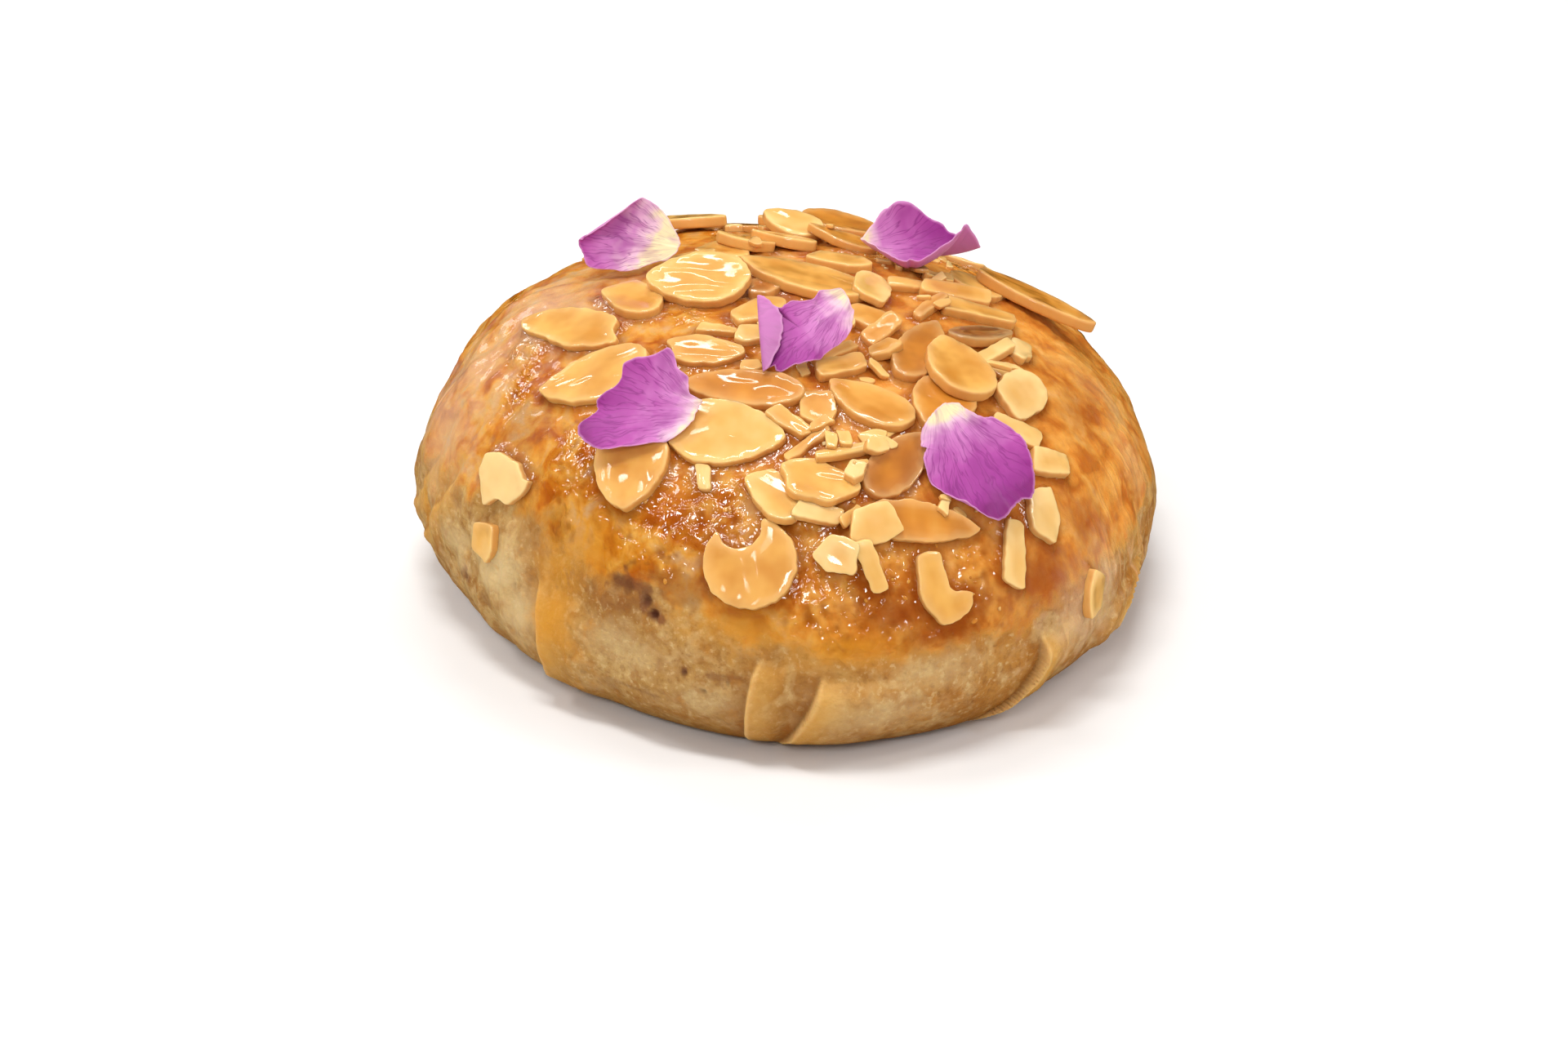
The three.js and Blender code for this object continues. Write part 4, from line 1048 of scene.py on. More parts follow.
def meniscus(points, almonds):
    """Syrup drawn up round the rim of each almond, as a lift, and how near each point is to one."""
    lift = np.zeros(len(points))
    rim = np.zeros(len(points))
    under, over = MENISCUS_FADES
    for almond in almonds:
        offset = points - almond["base"]
        near = np.linalg.norm(offset, axis=1) < almond["length"] / 2 + MENISCUS_REACH
        index = np.nonzero(near)[0]
        if len(index) == 0:
            continue
        flat = np.stack([offset[index] @ almond["along"], offset[index] @ almond["across"]], axis=1)
        height = offset[index] @ almond["up"]
        gap = np.maximum(outline_distance(almond["seat_outline"], flat), 0)
        close = smooth(*under, height) * smooth(*over, height)
        rise = MENISCUS_RISE * np.maximum(MENISCUS_LEVEL - height, 0) * bell(gap, MENISCUS_WIDTH)
        lift[index] = np.maximum(lift[index], rise * close)
        rim[index] = np.maximum(rim[index], close * bell(gap, MENISCUS_SHADE))
    return lift, rim


def pastry_points(a, b, folds, almonds):
    """Points of the finished pastry at (a, b), with the values that its material reads."""
    bare = bare_point(a, b)
    outward = outward_at(a, b)
    heading = np.degrees(np.arctan2(b, a))
    base = bare + outward * lumps(bare)[:, None]
    above = smooth(0, SMOOTH_FOOT, bare[:, 2])
    glaze = glaze_share(bare, heading)
    wet = glaze * wet_share(bare)
    lift, strip, crease_shade, lip_highlight = fold_relief(folds, bare, heading)
    streak = streak_share(bare, heading)
    pit, spot = pit_relief(bare)
    fillet, rim = [share * smooth(*MENISCUS_GLAZE, glaze) for share in meniscus(base, almonds)]
    fine = uneven("glaze_fine", bare)
    ridges = RIPPLE_HEIGHT * (RIPPLE_LEVEL - np.abs(uneven("ripple_ridge", bare)))
    ripples = wet * (ridges + uneven("ripple_fine", bare))
    around = unrolled(bare, heading, PLEAT_LENGTH)
    pleats = uneven("pleats", around) + uneven("dry", bare)
    drape = smooth(*DRAPE_SIDE, bare[:, 0]) * (uneven("drape_runs", around) + uneven("drape", bare))
    bumps = glaze * (uneven("glaze_broad", bare) + fine) + ripples + (1 - glaze) * pleats
    bumps = bumps + drape + STREAK_HEIGHT * streak
    height = above * (bumps * (1 - MENISCUS_CALM * rim) + lift - pit) + fillet
    points = base + outward * height[:, None]
    points[:, 2] = np.maximum(points[:, 2], 0)
    relief = fine + ripples
    shown = DRY_RELIEF + (1 - DRY_RELIEF) * wet
    values = {
        "glaze": glaze, "wet": np.maximum(wet, RIM_WET * rim * glaze),
        "right": smooth(*RIGHT_SIDE, bare[:, 0]),
        "hollow": np.maximum(shown * smooth(*HOLLOW_RELIEF, relief), RIM_HOLLOW * rim * glaze),
        "crest": shown * smooth(*CREST_RELIEF, relief),
        "strip": strip, "crease_shade": crease_shade, "lip_highlight": lip_highlight, "streak": streak, "spot": spot,
        # low is painted shade towards the foot of the wall
        "low": smooth(*FOOT_SHADE_HEIGHTS, bare[:, 2] + uneven("low", bare)),
    }
    values.update(stain_shares(bare, heading))
    return points, values


def disc_grid(cells):
    """A square grid bent to a disc of radius 1, so that its cells stay even."""
    line = np.linspace(-1, 1, cells + 1)
    u, v = [axis.ravel() for axis in np.meshgrid(line, line)]
    wide = np.abs(u) > np.abs(v)
    radius = np.where(wide, u, v)
    other = np.where(wide, v, u)
    ratio = np.divide(other, radius, out=np.zeros_like(other), where=radius != 0)
    angle = np.where(wide, ratio * math.pi / 4, math.pi / 2 - ratio * math.pi / 4)
    index = np.arange((cells + 1) ** 2).reshape(cells + 1, cells + 1)
    quads = np.stack([index[:-1, :-1], index[:-1, 1:], index[1:, 1:], index[1:, :-1]], axis=-1)
    return radius * np.cos(angle), radius * np.sin(angle), quads.reshape(-1, 4).tolist()


def pastry_crown(folds, almonds, material):
    a, b, faces = disc_grid(CROWN_CELLS)
    points, values = pastry_points(a * SEAM, b * SEAM, folds, almonds)
    return mesh_piece("pastry_crown", material, points, faces, values)


def pastry_wall(name, span, fineness, folds, almonds, material):
    """The wall over a span of headings, with its share of the flat base.

    Where it is twice as fine as the crown, the added points of its seam lie on the crown's straight edges.
    """
    sectors = round((span[1] - span[0]) * CROWN_CELLS / 90) * fineness
    theta = np.radians(np.linspace(*span, sectors + 1))
    along = np.linspace(SEAM, 1 + FOOT_SPAN, WALL_RINGS + 1)
    a = np.outer(along, np.cos(theta)).ravel()
    b = np.outer(along, np.sin(theta)).ravel()
    points, values = pastry_points(a, b, folds, almonds)
    index = np.arange(len(a)).reshape(WALL_RINGS + 1, sectors + 1)
    if fineness == 2:
        between = index[0, 1::2]
        points[between] = (points[between - 1] + points[between + 1]) / 2
    corners = [index[:-1, :-1], index[1:, :-1], index[1:, 1:], index[:-1, 1:]]
    faces = np.stack(corners, axis=-1).reshape(-1, 4).tolist()
    middle = len(points)
    points = np.concatenate([points, [(0, 0, 0)]])
    values = {key: np.append(numbers, 0) for key, numbers in values.items()}
    foot = index[-1]
    faces += np.column_stack([foot[1:], foot[:-1], np.full(sectors, middle)]).tolist()
    return mesh_piece(name, material, points, faces, values)


# Almond flakes: rounded rims, slight bends, and faces filled with small triangles

def filled_outline(outline, half_length, half_width):
    """Points and small triangles that fill an outline; its own points come first."""
    u, v = np.meshgrid(
        np.arange(-half_length, half_length, ALMOND_CELL),
        np.arange(-half_width - 1, half_width + 1, ALMOND_CELL),
    )
    places = np.column_stack([u.ravel(), v.ravel()])
    places = places[outline_distance(outline, places) < -0.5 * ALMOND_CELL]
    flat = [Vector(place) for place in np.concatenate([outline, places]).tolist()]
    filled = delaunay_2d_cdt(flat, [], [list(range(len(outline)))], 1, 1e-6)
    return np.array([tuple(point) for point in filled[0]]), np.array(filled[2])


def almond_mesh(almond, number):
    outline = fine_outline(almond, number)
    normals = outline_normals(outline)
    half_length, half_width = almond["length"] / 2, almond["width"] / 2
    face_places, triangles = filled_outline(outline - normals * ALMOND_RIM[0][0], half_length, half_width)
    count = len(outline)
    middle = len(face_places)
    rims = [outline - normals * inset for inset, _ in ALMOND_RIM[1:-1]]
    levels = [np.full(middle, 1.0)] + [np.full(count, level) for _, level in ALMOND_RIM[1:-1]]
    flat = np.concatenate([face_places, *rims, face_places])
    share = np.concatenate([*levels, np.zeros(middle)])
    faces = triangles.tolist()
    starts = [0] + [middle + count * index for index in range(len(rims) + 1)]
    for upper, lower in zip(starts[:-1], starts[1:]):
        faces += band(upper, lower, count)
    faces += (triangles[:, ::-1] + starts[-1]).tolist()
    bend = ALMOND_BEND * rng.uniform(-1, 1, size=3)
    bent = bend[0] * (flat[:, 0] / half_length) ** 2 + bend[1] * (flat[:, 1] / half_width) ** 2
    bent = bent + bend[2] * flat[:, 0] * flat[:, 1] / (half_length * half_width)
    gap = np.clip(-outline_distance(outline, flat), 0, None)
    deep = np.column_stack([flat, share * ALMOND_LAYERS])
    rough = ALMOND_ROUGHNESS * noise(deep, ALMOND_LUMP, number)
    hollow = ALMOND_HOLLOW * smooth(*HOLLOW_START, gap)
    thickness = almond["thickness"] * rng.uniform(*THICKNESS_RANGE)
    height = share * (thickness + rough - hollow) + bent
    points = almond["base"] + flat[:, :1] * almond["along"] + flat[:, 1:] * almond["across"]
    points = points + height[:, None] * almond["up"]
    values = {
        "toast": np.full(len(points), almond["toast"] + rng.uniform(*TOAST_RANGE)),
        "rim": np.exp(-gap / RIM_TINT), "face": share,
        "inner": rng.uniform(*INNER_RANGE) * smooth(*INNER_TINT, gap) * share,
        "leaf_u": flat[:, 0] + LEAF_GAP * number, "leaf_v": flat[:, 1],
    }
    return points, faces, values


def joined(parts):
    """One set of points, faces and values from several."""
    points, faces, values = [], [], {}
    count = 0
    for part_points, part_faces, part_values in parts:
        points.append(part_points)
        faces += [[index + count for index in face] for face in part_faces]
        for key, numbers in part_values.items():
            values.setdefault(key, []).append(numbers)
        count += len(part_points)
    return np.concatenate(points), faces, {key: np.concatenate(parts) for key, parts in values.items()}


def almonds_piece(name, almonds, material):
    parts = [almond_mesh(almond, number) for number, almond in enumerate(almonds)]
    return mesh_piece(name, material, *joined(parts))


# Petals

def rim_at(petal, turn):
    """The rim as a smooth closed curve; whole numbers of turn fall on its points."""
    rim = np.array(petal["rim"])
    index = np.floor(turn).astype(int)
    part = (turn - index)[:, None]
    before, start, end, after = [rim[(index + step) % len(rim)] for step in (-1, 0, 1, 2)]
    leaving = (end - before) / 2
    arriving = (after - start) / 2
    bend = 3 * (end - start) - 2 * leaving - arriving
    twist = leaving + arriving - 2 * (end - start)
    return start + part * (leaving + part * (bend + part * twist))


def petal_flat(petal, share, turn):
    """A point of the petal before it curls."""
    right, up, proud = rim_at(petal, turn).T
    return np.stack([right * share, up * share, proud * share ** petal["dish"]], axis=1)


def curled_past(points, direction, distance, radius):
    right, up = towards(direction)
    past = np.maximum(points[:, 0] * right + points[:, 1] * up - distance, 0)
    turn = np.minimum(past / radius, math.pi)
    straight = past - turn * radius
    shift = radius * np.sin(turn) + straight * np.cos(turn) - past
    rise = radius * (1 - np.cos(turn)) + straight * np.sin(turn)
    return points + np.stack([right * shift, up * shift, rise], axis=1)


def curled(petal, points):
    for curl in petal["curls"]:
        points = curled_past(points, *curl)
    return points


def petal_point(petal, share, turn):
    return curled(petal, petal_flat(petal, share, turn))


def fine_petal_point(petal, share, turn):
    """As petal_point, with ruffles, wrinkles that run out from the stem, and a frayed rim."""
    points = petal_flat(petal, share, turn)
    seed = 10 * petal["face"] + 3 * len(petal["rim"])
    place = np.stack([RIM_SPACING * turn, 0 * turn, 0 * turn], axis=1)
    fray = sum(amount * noise(place, size, seed + layer) for amount, size, layer in FRAY)
    points[:, :2] *= 1 + (fray * share ** FRAY_FALL)[:, None]
    along, across = stem_places(petal, points)
    angle = np.arctan2(across, along + STEM_BEHIND)
    fan = np.stack([FAN_AROUND * angle, FAN_ALONG * along, 0 * along], axis=1)
    points[:, 2] += WRINKLE_HEIGHT * noise(fan, 1, seed + WRINKLE_LAYER) * smooth(*WRINKLE_START, along)
    for height, fall, size, layer in RUFFLES:
        points[:, 2] += height * share ** fall * noise(place, size, seed + layer)
    return curled(petal, points)


def stem_places(petal, points):
    """How far points lie along the petal from its stem and across it, as shares of its length."""
    stem = np.array(petal["stem"])
    along = -stem / np.linalg.norm(stem)
    across = np.array([-along[1], along[0]])
    offset = points[:, :2] - stem
    return offset @ along / PETAL_LENGTH, offset @ across / PETAL_LENGTH


def petal_normal(petal, share, turn, span, point):
    inner = np.maximum(share - NORMAL_STEP, NORMAL_STEP)
    out = point(petal, inner + NORMAL_STEP, turn) - point(petal, inner, turn)
    around = point(petal, inner, turn + span) - point(petal, inner, turn - span)
    return unit(np.cross(out, around))


def petal_turned(petal, points):
    """Points turned from the petal's own plane to the way it lies."""
    roll, face, side = [math.radians(petal[key]) for key in ("roll", "face", "side")]
    x, y, z = points.T
    x, y = x * math.cos(roll) - y * math.sin(roll), x * math.sin(roll) + y * math.cos(roll)
    y, z = y * math.cos(face) - z * math.sin(face), y * math.sin(face) + z * math.cos(face)
    x, z = x * math.cos(side) + z * math.sin(side), -x * math.sin(side) + z * math.cos(side)
    return np.stack([x, y, z], axis=1)


def disc_places(rings, turns):
    share = np.repeat(np.arange(1, rings + 1) / rings, len(turns))
    return np.append(0, share), np.append(0, np.tile(turns, rings))


def petal_offset(petal, number):
    """From the petal's own place to where its solid lies."""
    share, turn = disc_places(PETAL_RINGS, np.arange(len(petal["rim"])))
    middle = petal_point(petal, share, turn)
    normal = petal_normal(petal, share, turn, 1, petal_point)
    faces = [middle + normal * offset for offset in (PETAL_THICKNESS / 2, -PETAL_THICKNESS / 2)]
    low = petal_turned(petal, np.concatenate(faces)).min(axis=0)
    return np.array(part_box(f"petal_{number}")[0]) / MM - low


def disc_faces(rings, spokes):
    order = np.arange(spokes)
    following = np.roll(order, -1)
    faces = np.stack([np.zeros(spokes, dtype=int), 1 + order, 1 + following], axis=1).tolist()
    for circle in range(rings - 1):
        near = 1 + circle * spokes
        faces += band(near, near + spokes, spokes)
    return faces


def petal_piece(petal, number, material):
    spokes = SPOKES_A_POINT * len(petal["rim"])
    share, turn = disc_places(FINE_RINGS, np.arange(spokes) / SPOKES_A_POINT)
    middle = fine_petal_point(petal, share, turn)
    normal = petal_normal(petal, share, turn, 0.5 / SPOKES_A_POINT, fine_petal_point)
    normal[0] = normal[1:spokes + 1].mean(axis=0)
    half = FINE_THICKNESS / 2 * (1 - RIM_THINNING * share ** RIM_THINNING_FALL)
    upper = middle + normal * half[:, None]
    lower = middle - normal * half[:, None]
    points = petal_turned(petal, np.concatenate([upper, lower])) + petal_offset(petal, number)
    faces = disc_faces(FINE_RINGS, spokes)
    under = [[index + len(share) for index in face[::-1]] for face in faces]
    last_ring = 1 + (FINE_RINGS - 1) * spokes
    rim = band(last_ring, last_ring + len(share), spokes)
    along, across = stem_places(petal, petal_flat(petal, share, turn))
    values = {
        "leaf_u": np.tile(along, 2), "leaf_v": np.tile(across, 2), "rim": np.tile(share, 2),
        "under": np.repeat((0.0, 1.0), len(share)), "petal": np.full(2 * len(share), number * LEAF_STEP),
        "tone": np.full(2 * len(share), petal["tone"]),
    }
    return mesh_piece(f"rose_petal_{number}", material, points, faces + under + rim, values)


# Syrup drops and crumbs

def dome(rings, sides):
    """Points of a low round drop of radius 1, and its faces."""
    level = np.linspace(0, 1, rings + 1)[1:]
    turn = ring(sides)
    reach = np.sin(level * math.pi / 2)
    rise = np.cos(level * math.pi / 2)
    x = np.outer(reach, np.cos(turn)).ravel()
    y = np.outer(reach, np.sin(turn)).ravel()
    points = np.concatenate([[(0, 0, 1)], np.column_stack([x, y, np.repeat(rise, sides)])])
    return points, disc_faces(rings, sides)


def scattered(spots, number, spread):
    """Places drawn round a list of spots, each with x, y and how far things spread from it."""
    spots = np.array(spots)
    chosen = spots[rng.integers(len(spots), size=number)]
    return chosen[:, :2] + rng.normal(size=(number, 2)) * chosen[:, 2:] * spread


def turned_up(up):
    """Axes with a given up and the other two drawn at random."""
    along = unit(np.cross(up, rng.normal(size=3)))
    return np.array([along, np.cross(up, along), up])


def syrup_piece(folds, almonds, material):
    places = scattered(WET_SPOTS, DROPS, DROP_SPREAD)
    share = np.hypot(*places.T) / reach_at(np.arctan2(places[:, 1], places[:, 0]))
    places = places[share < DROP_LIMIT]
    a, b = surface_place(places[:, 0], places[:, 1])
    bases, values = pastry_points(a, b, folds, almonds)
    soaked = values["glaze"] > DROP_GLAZE
    drop, faces = dome(DROP_RINGS, DROP_SIDES)
    parts = []
    for base, up in zip(bases[soaked], outward_at(a, b)[soaked]):
        size = rng.uniform(*DROP_SIZES) * rng.uniform(*DROP_SHRINKS)
        axes = turned_up(up)
        shaped = drop * (size * rng.uniform(*DROP_LENGTHS), size, DROP_RISE * size)
        parts.append((base - up * DROP_BEDDING + shaped @ axes, faces, {}))
    return mesh_piece("syrup", material, *joined(parts))


def crumb_mesh(size):
    """A broken crumb: a box with its corners drawn at random."""
    corners = np.array(list(product((-1, 1), repeat=3)), dtype=float)
    corners = corners * rng.uniform(*CRUMB_CORNERS, size=corners.shape) * size / 2 * CRUMB_FORM
    faces = [[0, 1, 3, 2], [4, 6, 7, 5], [0, 4, 5, 1], [2, 3, 7, 6], [0, 2, 6, 4], [1, 5, 7, 3]]
    return corners, faces


def crumbs_piece(folds, almonds, material):
    a, b = surface_place(*scattered(CRUMB_SPOTS, CRUMBS, CRUMB_SPREAD).T)
    bases, _ = pastry_points(a, b, folds, almonds)
    parts = []
    for base, up in zip(bases, outward_at(a, b)):
        corners, faces = crumb_mesh(rng.uniform(*CRUMB_SIZES))
        placed = base + up * CRUMB_LIFT + corners @ turned_up(up)
        parts.append((placed, faces, {"toast": np.full(len(corners), rng.uniform(*CRUMB_TOASTS))}))
    return mesh_piece("crumbs", material, *joined(parts))


# Materials

class Look:
    """A procedural material: one Principled shader and the nodes that feed it."""

    def __init__(self, name, constants):
        self.material = bpy.data.materials.new(name)
        self.material.use_nodes = True
        self.tree = self.material.node_tree
        self.shader = self.tree.nodes["Principled BSDF"]
        for socket, value in constants.items():
            self.shader.inputs[socket].default_value = value

    def node(self, kind, inputs, **settings):
        node = self.tree.nodes.new(kind)
        for key, value in settings.items():
            setattr(node, key, value)
        for key, value in inputs.items():
            if isinstance(value, bpy.types.NodeSocket):
                self.tree.links.new(value, node.inputs[key])
            else:
                node.inputs[key].default_value = value
        return node

    def feed(self, socket, value):
        self.tree.links.new(value, self.shader.inputs[socket])

    def value(self, name):
        return self.node("ShaderNodeAttribute", {}, attribute_name=name).outputs["Fac"]

    def place(self):
        return self.node("ShaderNodeTexCoord", {}).outputs["Object"]

    def vector(self, x, y, z):
        return self.node("ShaderNodeCombineXYZ", {0: x, 1: y, 2: z}).outputs[0]

    def grain(self, size, detail=3.0, roughness=0.55, distortion=0.0, where=None):
        """Noise with lumps of a size, in millimetres where no other place is given."""
        scale = 1 / size if where is not None else 1 / (size * MM)
        inputs = {
            "Vector": where if where is not None else self.place(), "Scale": scale, "Detail": detail,
            "Roughness": roughness, "Distortion": distortion,
        }
        return self.node("ShaderNodeTexNoise", inputs).outputs["Fac"]

    def math(self, operation, first, second=0.0):
        return self.node("ShaderNodeMath", {0: first, 1: second}, operation=operation).outputs[0]

    def fade(self, value, low, high, to_low=0.0, to_high=1.0):
        inputs = {"Value": value, "From Min": low, "From Max": high, "To Min": to_low, "To Max": to_high}
        return self.node("ShaderNodeMapRange", inputs).outputs["Result"]

    def ramp(self, value, stops):
        node = self.node("ShaderNodeValToRGB", {"Fac": value})
        elements = node.color_ramp.elements
        while len(elements) < len(stops):
            elements.new(0.5)
        for element, (position, colour) in zip(elements, stops):
            element.position = position
            element.color = colour
        return node.outputs["Color"]

    def mix(self, share, first, second, blend="MIX"):
        inputs = {0: share, 6: first, 7: second}
        return self.node("ShaderNodeMix", inputs, data_type="RGBA", blend_type=blend).outputs[2]

    def marked(self, colour, marks):
        """A colour with tints laid over it, each where a named value is high."""
        for name, strength, tint in marks:
            colour = self.mix(self.math("MULTIPLY", self.value(name), strength), colour, tint)
        return colour

    def bump(self, height, distance, strength=1.0, normal=None):
        inputs = {"Height": height, "Distance": distance * MM, "Strength": strength}
        if normal is not None:
            inputs["Normal"] = normal
        return self.node("ShaderNodeBump", inputs).outputs["Normal"]


def pastry_look():
    look = Look("baked_pastry", {
        "Coat Roughness": 0.05, "Coat IOR": 1.65, "IOR": 1.45, "Subsurface Weight": 0.3,
        "Subsurface Radius": (1.0, 0.5, 0.2), "Subsurface Scale": 0.002, "Specular IOR Level": 0.2,
    })
    glaze = look.value("glaze")
    wet = look.value("wet")
    patches = look.grain(9, detail=4, roughness=0.6)
    blotches = look.grain(4.5, detail=3, roughness=0.5, distortion=0.6)
    mottle = look.grain(2.6, detail=5, roughness=0.62)
    cream = look.ramp(patches, [
        (0.32, srgb(198, 162, 102)), (0.5, srgb(178, 134, 70)), (0.68, srgb(156, 104, 44)),
    ])
    golden = look.ramp(patches, [
        (0.32, srgb(190, 138, 68)), (0.5, srgb(174, 114, 44)), (0.68, srgb(152, 94, 32)),
    ])
    wall = look.mix(look.value("right"), cream, golden)
    flecks = look.grain(1.1, detail=3, roughness=0.6)
    wall = look.mix(look.fade(mottle, 0.48, 0.66, 0, 0.8), wall, srgb(148, 92, 36))
    wall = look.mix(look.fade(blotches, 0.5, 0.64, 0, 0.55), wall, srgb(206, 172, 114))
    wall = look.mix(look.fade(flecks, 0.54, 0.68, 0, 0.5), wall, srgb(138, 86, 34))
    wall = look.mix(look.fade(flecks, 0.44, 0.32, 0, 0.5), wall, srgb(218, 186, 130))
    # the crease mark is painted shade beside the flap edges, the lip mark a painted highlight on them
    wall = look.marked(wall, [
        ("pale", 0.85, srgb(212, 184, 132)), ("strip", 0.7, srgb(216, 160, 74)),
        # the low mark is painted shade towards the foot of the wall
        ("low", 0.5, srgb(142, 88, 28)), ("crease_shade", 0.75, srgb(140, 80, 16)),
        ("lip_highlight", 0.6, srgb(226, 184, 120)), ("streak", 0.5, srgb(222, 172, 122)),
    ])
    honey = look.ramp(blotches, [
        (0.34, srgb(172, 86, 14)), (0.45, srgb(204, 124, 30)), (0.56, srgb(220, 156, 64)),
        (0.7, srgb(206, 162, 108)),
    ])
    amber = look.ramp(blotches, [
        (0.34, srgb(194, 110, 36)), (0.47, srgb(220, 142, 56)), (0.6, srgb(230, 162, 76)),
        (0.74, srgb(234, 174, 100)),
    ])
    top = look.mix(look.value("right"), honey, amber)
    top = look.mix(look.fade(mottle, 0.5, 0.7, 0, 0.5), top, srgb(190, 102, 24))
    top = look.marked(top, [
        ("crest", 0.5, srgb(236, 186, 98)), ("hollow", 0.75, srgb(138, 58, 8)),
        ("deep", 0.7, srgb(140, 58, 8)), ("streak", 0.25, srgb(224, 160, 90)),
    ])
    cover = look.fade(look.math("ADD", glaze, look.fade(mottle, 0.25, 0.75, -0.35, 0.35)), 0.1, 0.9)
    browned = look.mix(look.fade(cover, 0, 0.45, 0, 0.7), wall, srgb(206, 146, 64))
    colour = look.mix(look.fade(cover, 0.25, 0.95), browned, top)
    colour = look.marked(colour, [
        # the blush mark is pale translucent pastry and a painted sheen along the left silhouette
        ("blush_and_sheen", 0.85, srgb(216, 178, 144)), ("gold", 0.8, srgb(206, 138, 34)),
        ("deep", 0.7, srgb(150, 66, 12)), ("brown", 0.85, srgb(118, 68, 42)), ("spot", 0.8, srgb(78, 34, 18)),
    ])
    look.feed("Base Color", colour)
    dull = look.math("MULTIPLY", look.fade(glaze, 0, 1, 0.55, 0.36), look.fade(wet, 0.1, 0.6, 1.0, 0.4))
    look.feed("Roughness", dull)
    film = look.math("MULTIPLY", look.fade(cover, 0.15, 0.9), look.fade(wet, 0, 0.5, 0.18, 1.0))
    look.feed("Coat Weight", film)
    crumbly = look.math("ADD", look.grain(0.6, detail=2), flecks)
    crust = look.bump(look.math("MULTIPLY", crumbly, look.fade(cover, 0.5, 1, 1, 0.4)), 0.16)
    soaked = look.fade(wet, 0.05, 0.6, 0.12, 1.0)
    swell = look.math("MULTIPLY", look.grain(2.2, detail=1, distortion=1.0), soaked)
    froth = look.math("MULTIPLY", look.grain(1.1, detail=1, distortion=0.5), soaked)
    look.feed("Normal", look.bump(swell, 0.4, 1.0, crust))
    look.feed("Coat Normal", look.bump(froth, 0.12, 1.0, look.bump(swell, 0.8)))
    return look.material


def almond_look():
    look = Look("toasted_almond", {
        "Coat Roughness": 0.07, "Coat IOR": 1.6, "Subsurface Weight": 0.4, "Specular IOR Level": 0.25,
        "Subsurface Radius": (1.0, 0.75, 0.5), "Subsurface Scale": 0.0012, "Roughness": 0.42,
    })
    u = look.value("leaf_u")
    v = look.value("leaf_v")
    where = look.vector(u, v, look.value("face"))
    clouds = look.grain(6, detail=2, where=where)
    grit = look.grain(0.6, detail=3, where=where)
    toast = look.math("ADD", look.value("toast"), look.fade(clouds, 0.3, 0.7, -0.1, 0.1))
    colour = look.ramp(toast, [
        (0.0, srgb(242, 204, 138)), (0.2, srgb(232, 178, 92)), (0.45, srgb(208, 134, 44)),
        (0.7, srgb(170, 96, 32)), (1.0, srgb(112, 54, 16)),
    ])
    colour = look.marked(colour, [("inner", 0.35, srgb(210, 136, 40)), ("rim", 0.5, srgb(242, 204, 140))])
    # Side faces darker orange: syrup on them, and painted shade
    side = look.fade(look.value("face"), 0.94, 0.7, 0, 0.6)
    colour = look.mix(side, colour, srgb(212, 140, 52))
    look.feed("Base Color", colour)
    look.feed("Coat Weight", look.fade(clouds, 0.4, 0.58, 0.1, 1.0))
    look.feed("Normal", look.bump(grit, 0.012, 0.6))
    drawn = look.vector(look.math("MULTIPLY", u, 0.4), v, 0.0)
    look.feed("Coat Normal", look.bump(look.grain(3.4, detail=0, distortion=0.6, where=drawn), 0.7))
    return look.material


def petal_look():
    look = Look("rose_petal", {
        "Roughness": 0.5, "Subsurface Weight": 0.2, "Subsurface Radius": (1.0, 0.4, 0.9),
        "Subsurface Scale": 0.001, "Sheen Weight": 0.1, "Specular IOR Level": 0.3,
    })
    u = look.value("leaf_u")
    v = look.value("leaf_v")
    seed = look.value("petal")
    where = look.vector(u, v, seed)
    clouds = look.grain(0.3, detail=3, where=where)
    angle = look.math("ARCTAN2", v, look.math("ADD", u, STEM_BEHIND))
    bent = look.math("ADD", angle, look.fade(look.grain(0.25, detail=2, where=where), 0.2, 0.8, -0.05, 0.05))
    vein_place = look.vector(look.math("MULTIPLY", bent, 17.0), look.math("MULTIPLY", u, 3.0), seed)
    vein_field = look.grain(1.0, detail=2, roughness=0.4, where=vein_place)
    veins = look.fade(look.math("ABSOLUTE", look.math("SUBTRACT", vein_field, 0.5)), 0, 0.04, 1, 0)
    reach = look.math("ADD", u, look.fade(clouds, 0.3, 0.7, -0.14, 0.14))
    colour = look.ramp(look.math("SUBTRACT", reach, look.value("tone")), [
        (0.0, srgb(240, 222, 176)), (0.1, srgb(230, 188, 206)), (0.26, srgb(200, 122, 184)),
        (0.52, srgb(176, 76, 158)), (0.8, srgb(154, 50, 138)), (1.0, srgb(126, 28, 108)),
    ])
    vein_depth = look.math("MULTIPLY", veins, look.fade(u, 0.05, 0.35, 0.1, 0.6))
    colour = look.mix(vein_depth, colour, srgb(124, 30, 112))
    broad = look.grain(0.35, detail=2, where=look.vector(look.math("MULTIPLY", bent, 1.2), u, seed))
    colour = look.mix(look.fade(broad, 0.48, 0.7, 0, 0.6), colour, srgb(142, 42, 128))
    colour = look.marked(colour, [("under", 0.5, srgb(218, 146, 196))])
    colour = look.mix(look.fade(look.value("rim"), 0.96, 1, 0, 0.5), colour, srgb(226, 166, 206))
    look.feed("Base Color", colour)
    look.feed("Normal", look.bump(look.math("ADD", veins, clouds), 0.06, 0.4))
    return look.material


def syrup_look():
    look = Look("honey_syrup", {
        "Roughness": 0.12, "Coat Weight": 1.0, "Coat Roughness": 0.04, "IOR": 1.48, "Subsurface Weight": 0.4,
        "Subsurface Radius": (1.0, 0.45, 0.1), "Subsurface Scale": 0.0015,
    })
    look.feed("Base Color", look.ramp(look.grain(4, detail=2), [
        (0.35, srgb(196, 112, 36)), (0.65, srgb(222, 150, 66)),
    ]))
    return look.material


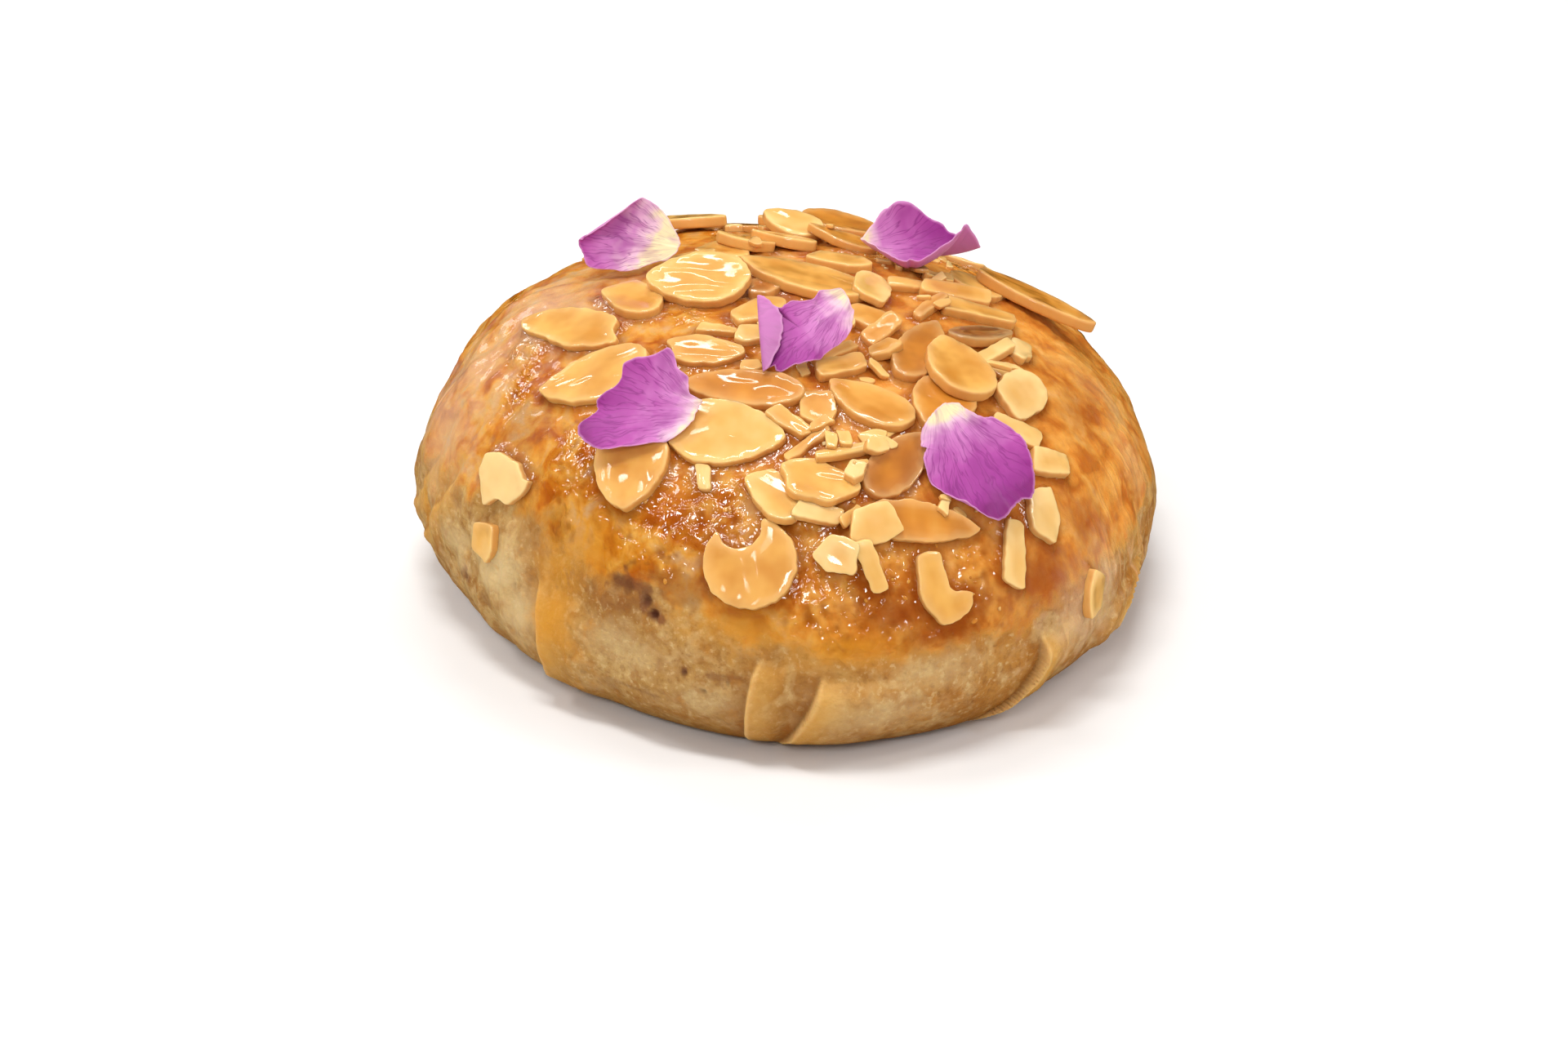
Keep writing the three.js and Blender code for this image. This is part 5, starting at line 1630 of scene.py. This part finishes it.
def crumb_look():
    look = Look("pastry_crumb", {
        "Roughness": 0.6, "Specular IOR Level": 0.3, "Subsurface Weight": 0.15, "Subsurface Scale": 0.0008,
    })
    toast = look.math("ADD", look.value("toast"), look.fade(look.grain(0.5), 0.3, 0.7, -0.1, 0.15))
    look.feed("Base Color", look.ramp(toast, [
        (0.0, srgb(246, 218, 160)), (0.35, srgb(230, 174, 96)), (0.8, srgb(180, 106, 44)),
    ]))
    return look.material


def floor_look():
    look = Look("pale_floor", {"Roughness": 0.6, "Specular IOR Level": 0.2})
    look.feed("Base Color", look.ramp(look.grain(60, detail=2), [
        (0.3, srgb(238, 237, 236)), (0.7, srgb(242, 241, 240)),
    ]))
    return look.material


# Studio: floor, soft light and the camera

def make_floor():
    corners = np.array([(-1, -1, 0), (1, -1, 0), (1, 1, 0), (-1, 1, 0)])
    floor = mesh_piece("floor", floor_look(), corners * FLOOR_HALF, [[0, 1, 2, 3]])
    floor.visible_glossy = False


def soft_light(name, place, target, size, power, mirrored):
    """An area light; mirrored ones also show as highlights."""
    lamp = bpy.data.lights.new(name, "AREA")
    lamp.shape = "RECTANGLE"
    lamp.size, lamp.size_y = [side * MM for side in size]
    lamp.energy = power
    light = bpy.data.objects.new(name, lamp)
    light.location = Vector(place) * MM
    light.visible_glossy = mirrored
    light.rotation_euler = (Vector(target) - Vector(place)).to_track_quat("-Z", "Y").to_euler()
    bpy.context.collection.objects.link(light)


def make_light():
    world = bpy.data.worlds.new("studio")
    world.use_nodes = True
    background = world.node_tree.nodes["Background"]
    background.inputs["Color"].default_value = WORLD_COLOUR
    background.inputs["Strength"].default_value = WORLD_STRENGTH
    world.cycles_visibility.glossy = False
    bpy.context.scene.world = world
    for light in LIGHTS:
        soft_light(*light)


def make_camera():
    camera = bpy.data.objects.new("camera", bpy.data.cameras.new("camera"))
    camera.data.lens = LENS
    camera.data.sensor_width = SENSOR
    camera.location = Vector(CAMERA_PLACE) * MM
    camera.rotation_euler = (math.radians(90 - CAMERA_DIP), 0, math.radians(CAMERA_YAW))
    bpy.context.collection.objects.link(camera)
    bpy.context.scene.camera = camera
    bpy.context.scene.view_settings.view_transform = "Standard"


# Assembly

def stand_for(piece, node):
    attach(piece, "root")
    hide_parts(node)


make_camera()
make_light()
make_floor()
almonds = seat_all_almonds()
folds = FOLDS + back_folds()
baked = pastry_look()
stand_for(pastry_crown(folds, almonds, baked), "pastry")
for name, (span, fineness) in WALLS.items():
    stand_for(pastry_wall(name, span, fineness, folds, almonds, baked), "pastry")
nut = almond_look()
stand_for(almonds_piece("almonds", almonds, nut), "pastry")
stand_for(almonds_piece("almond_bits", seat_bits(almonds), nut), "pastry")
stand_for(syrup_piece(folds, almonds, syrup_look()), "pastry")
stand_for(crumbs_piece(folds, almonds, crumb_look()), "pastry")
rose = petal_look()
for number, petal in enumerate(PETALS, start=1):
    stand_for(petal_piece(petal, number, rose), f"petal_{number}")
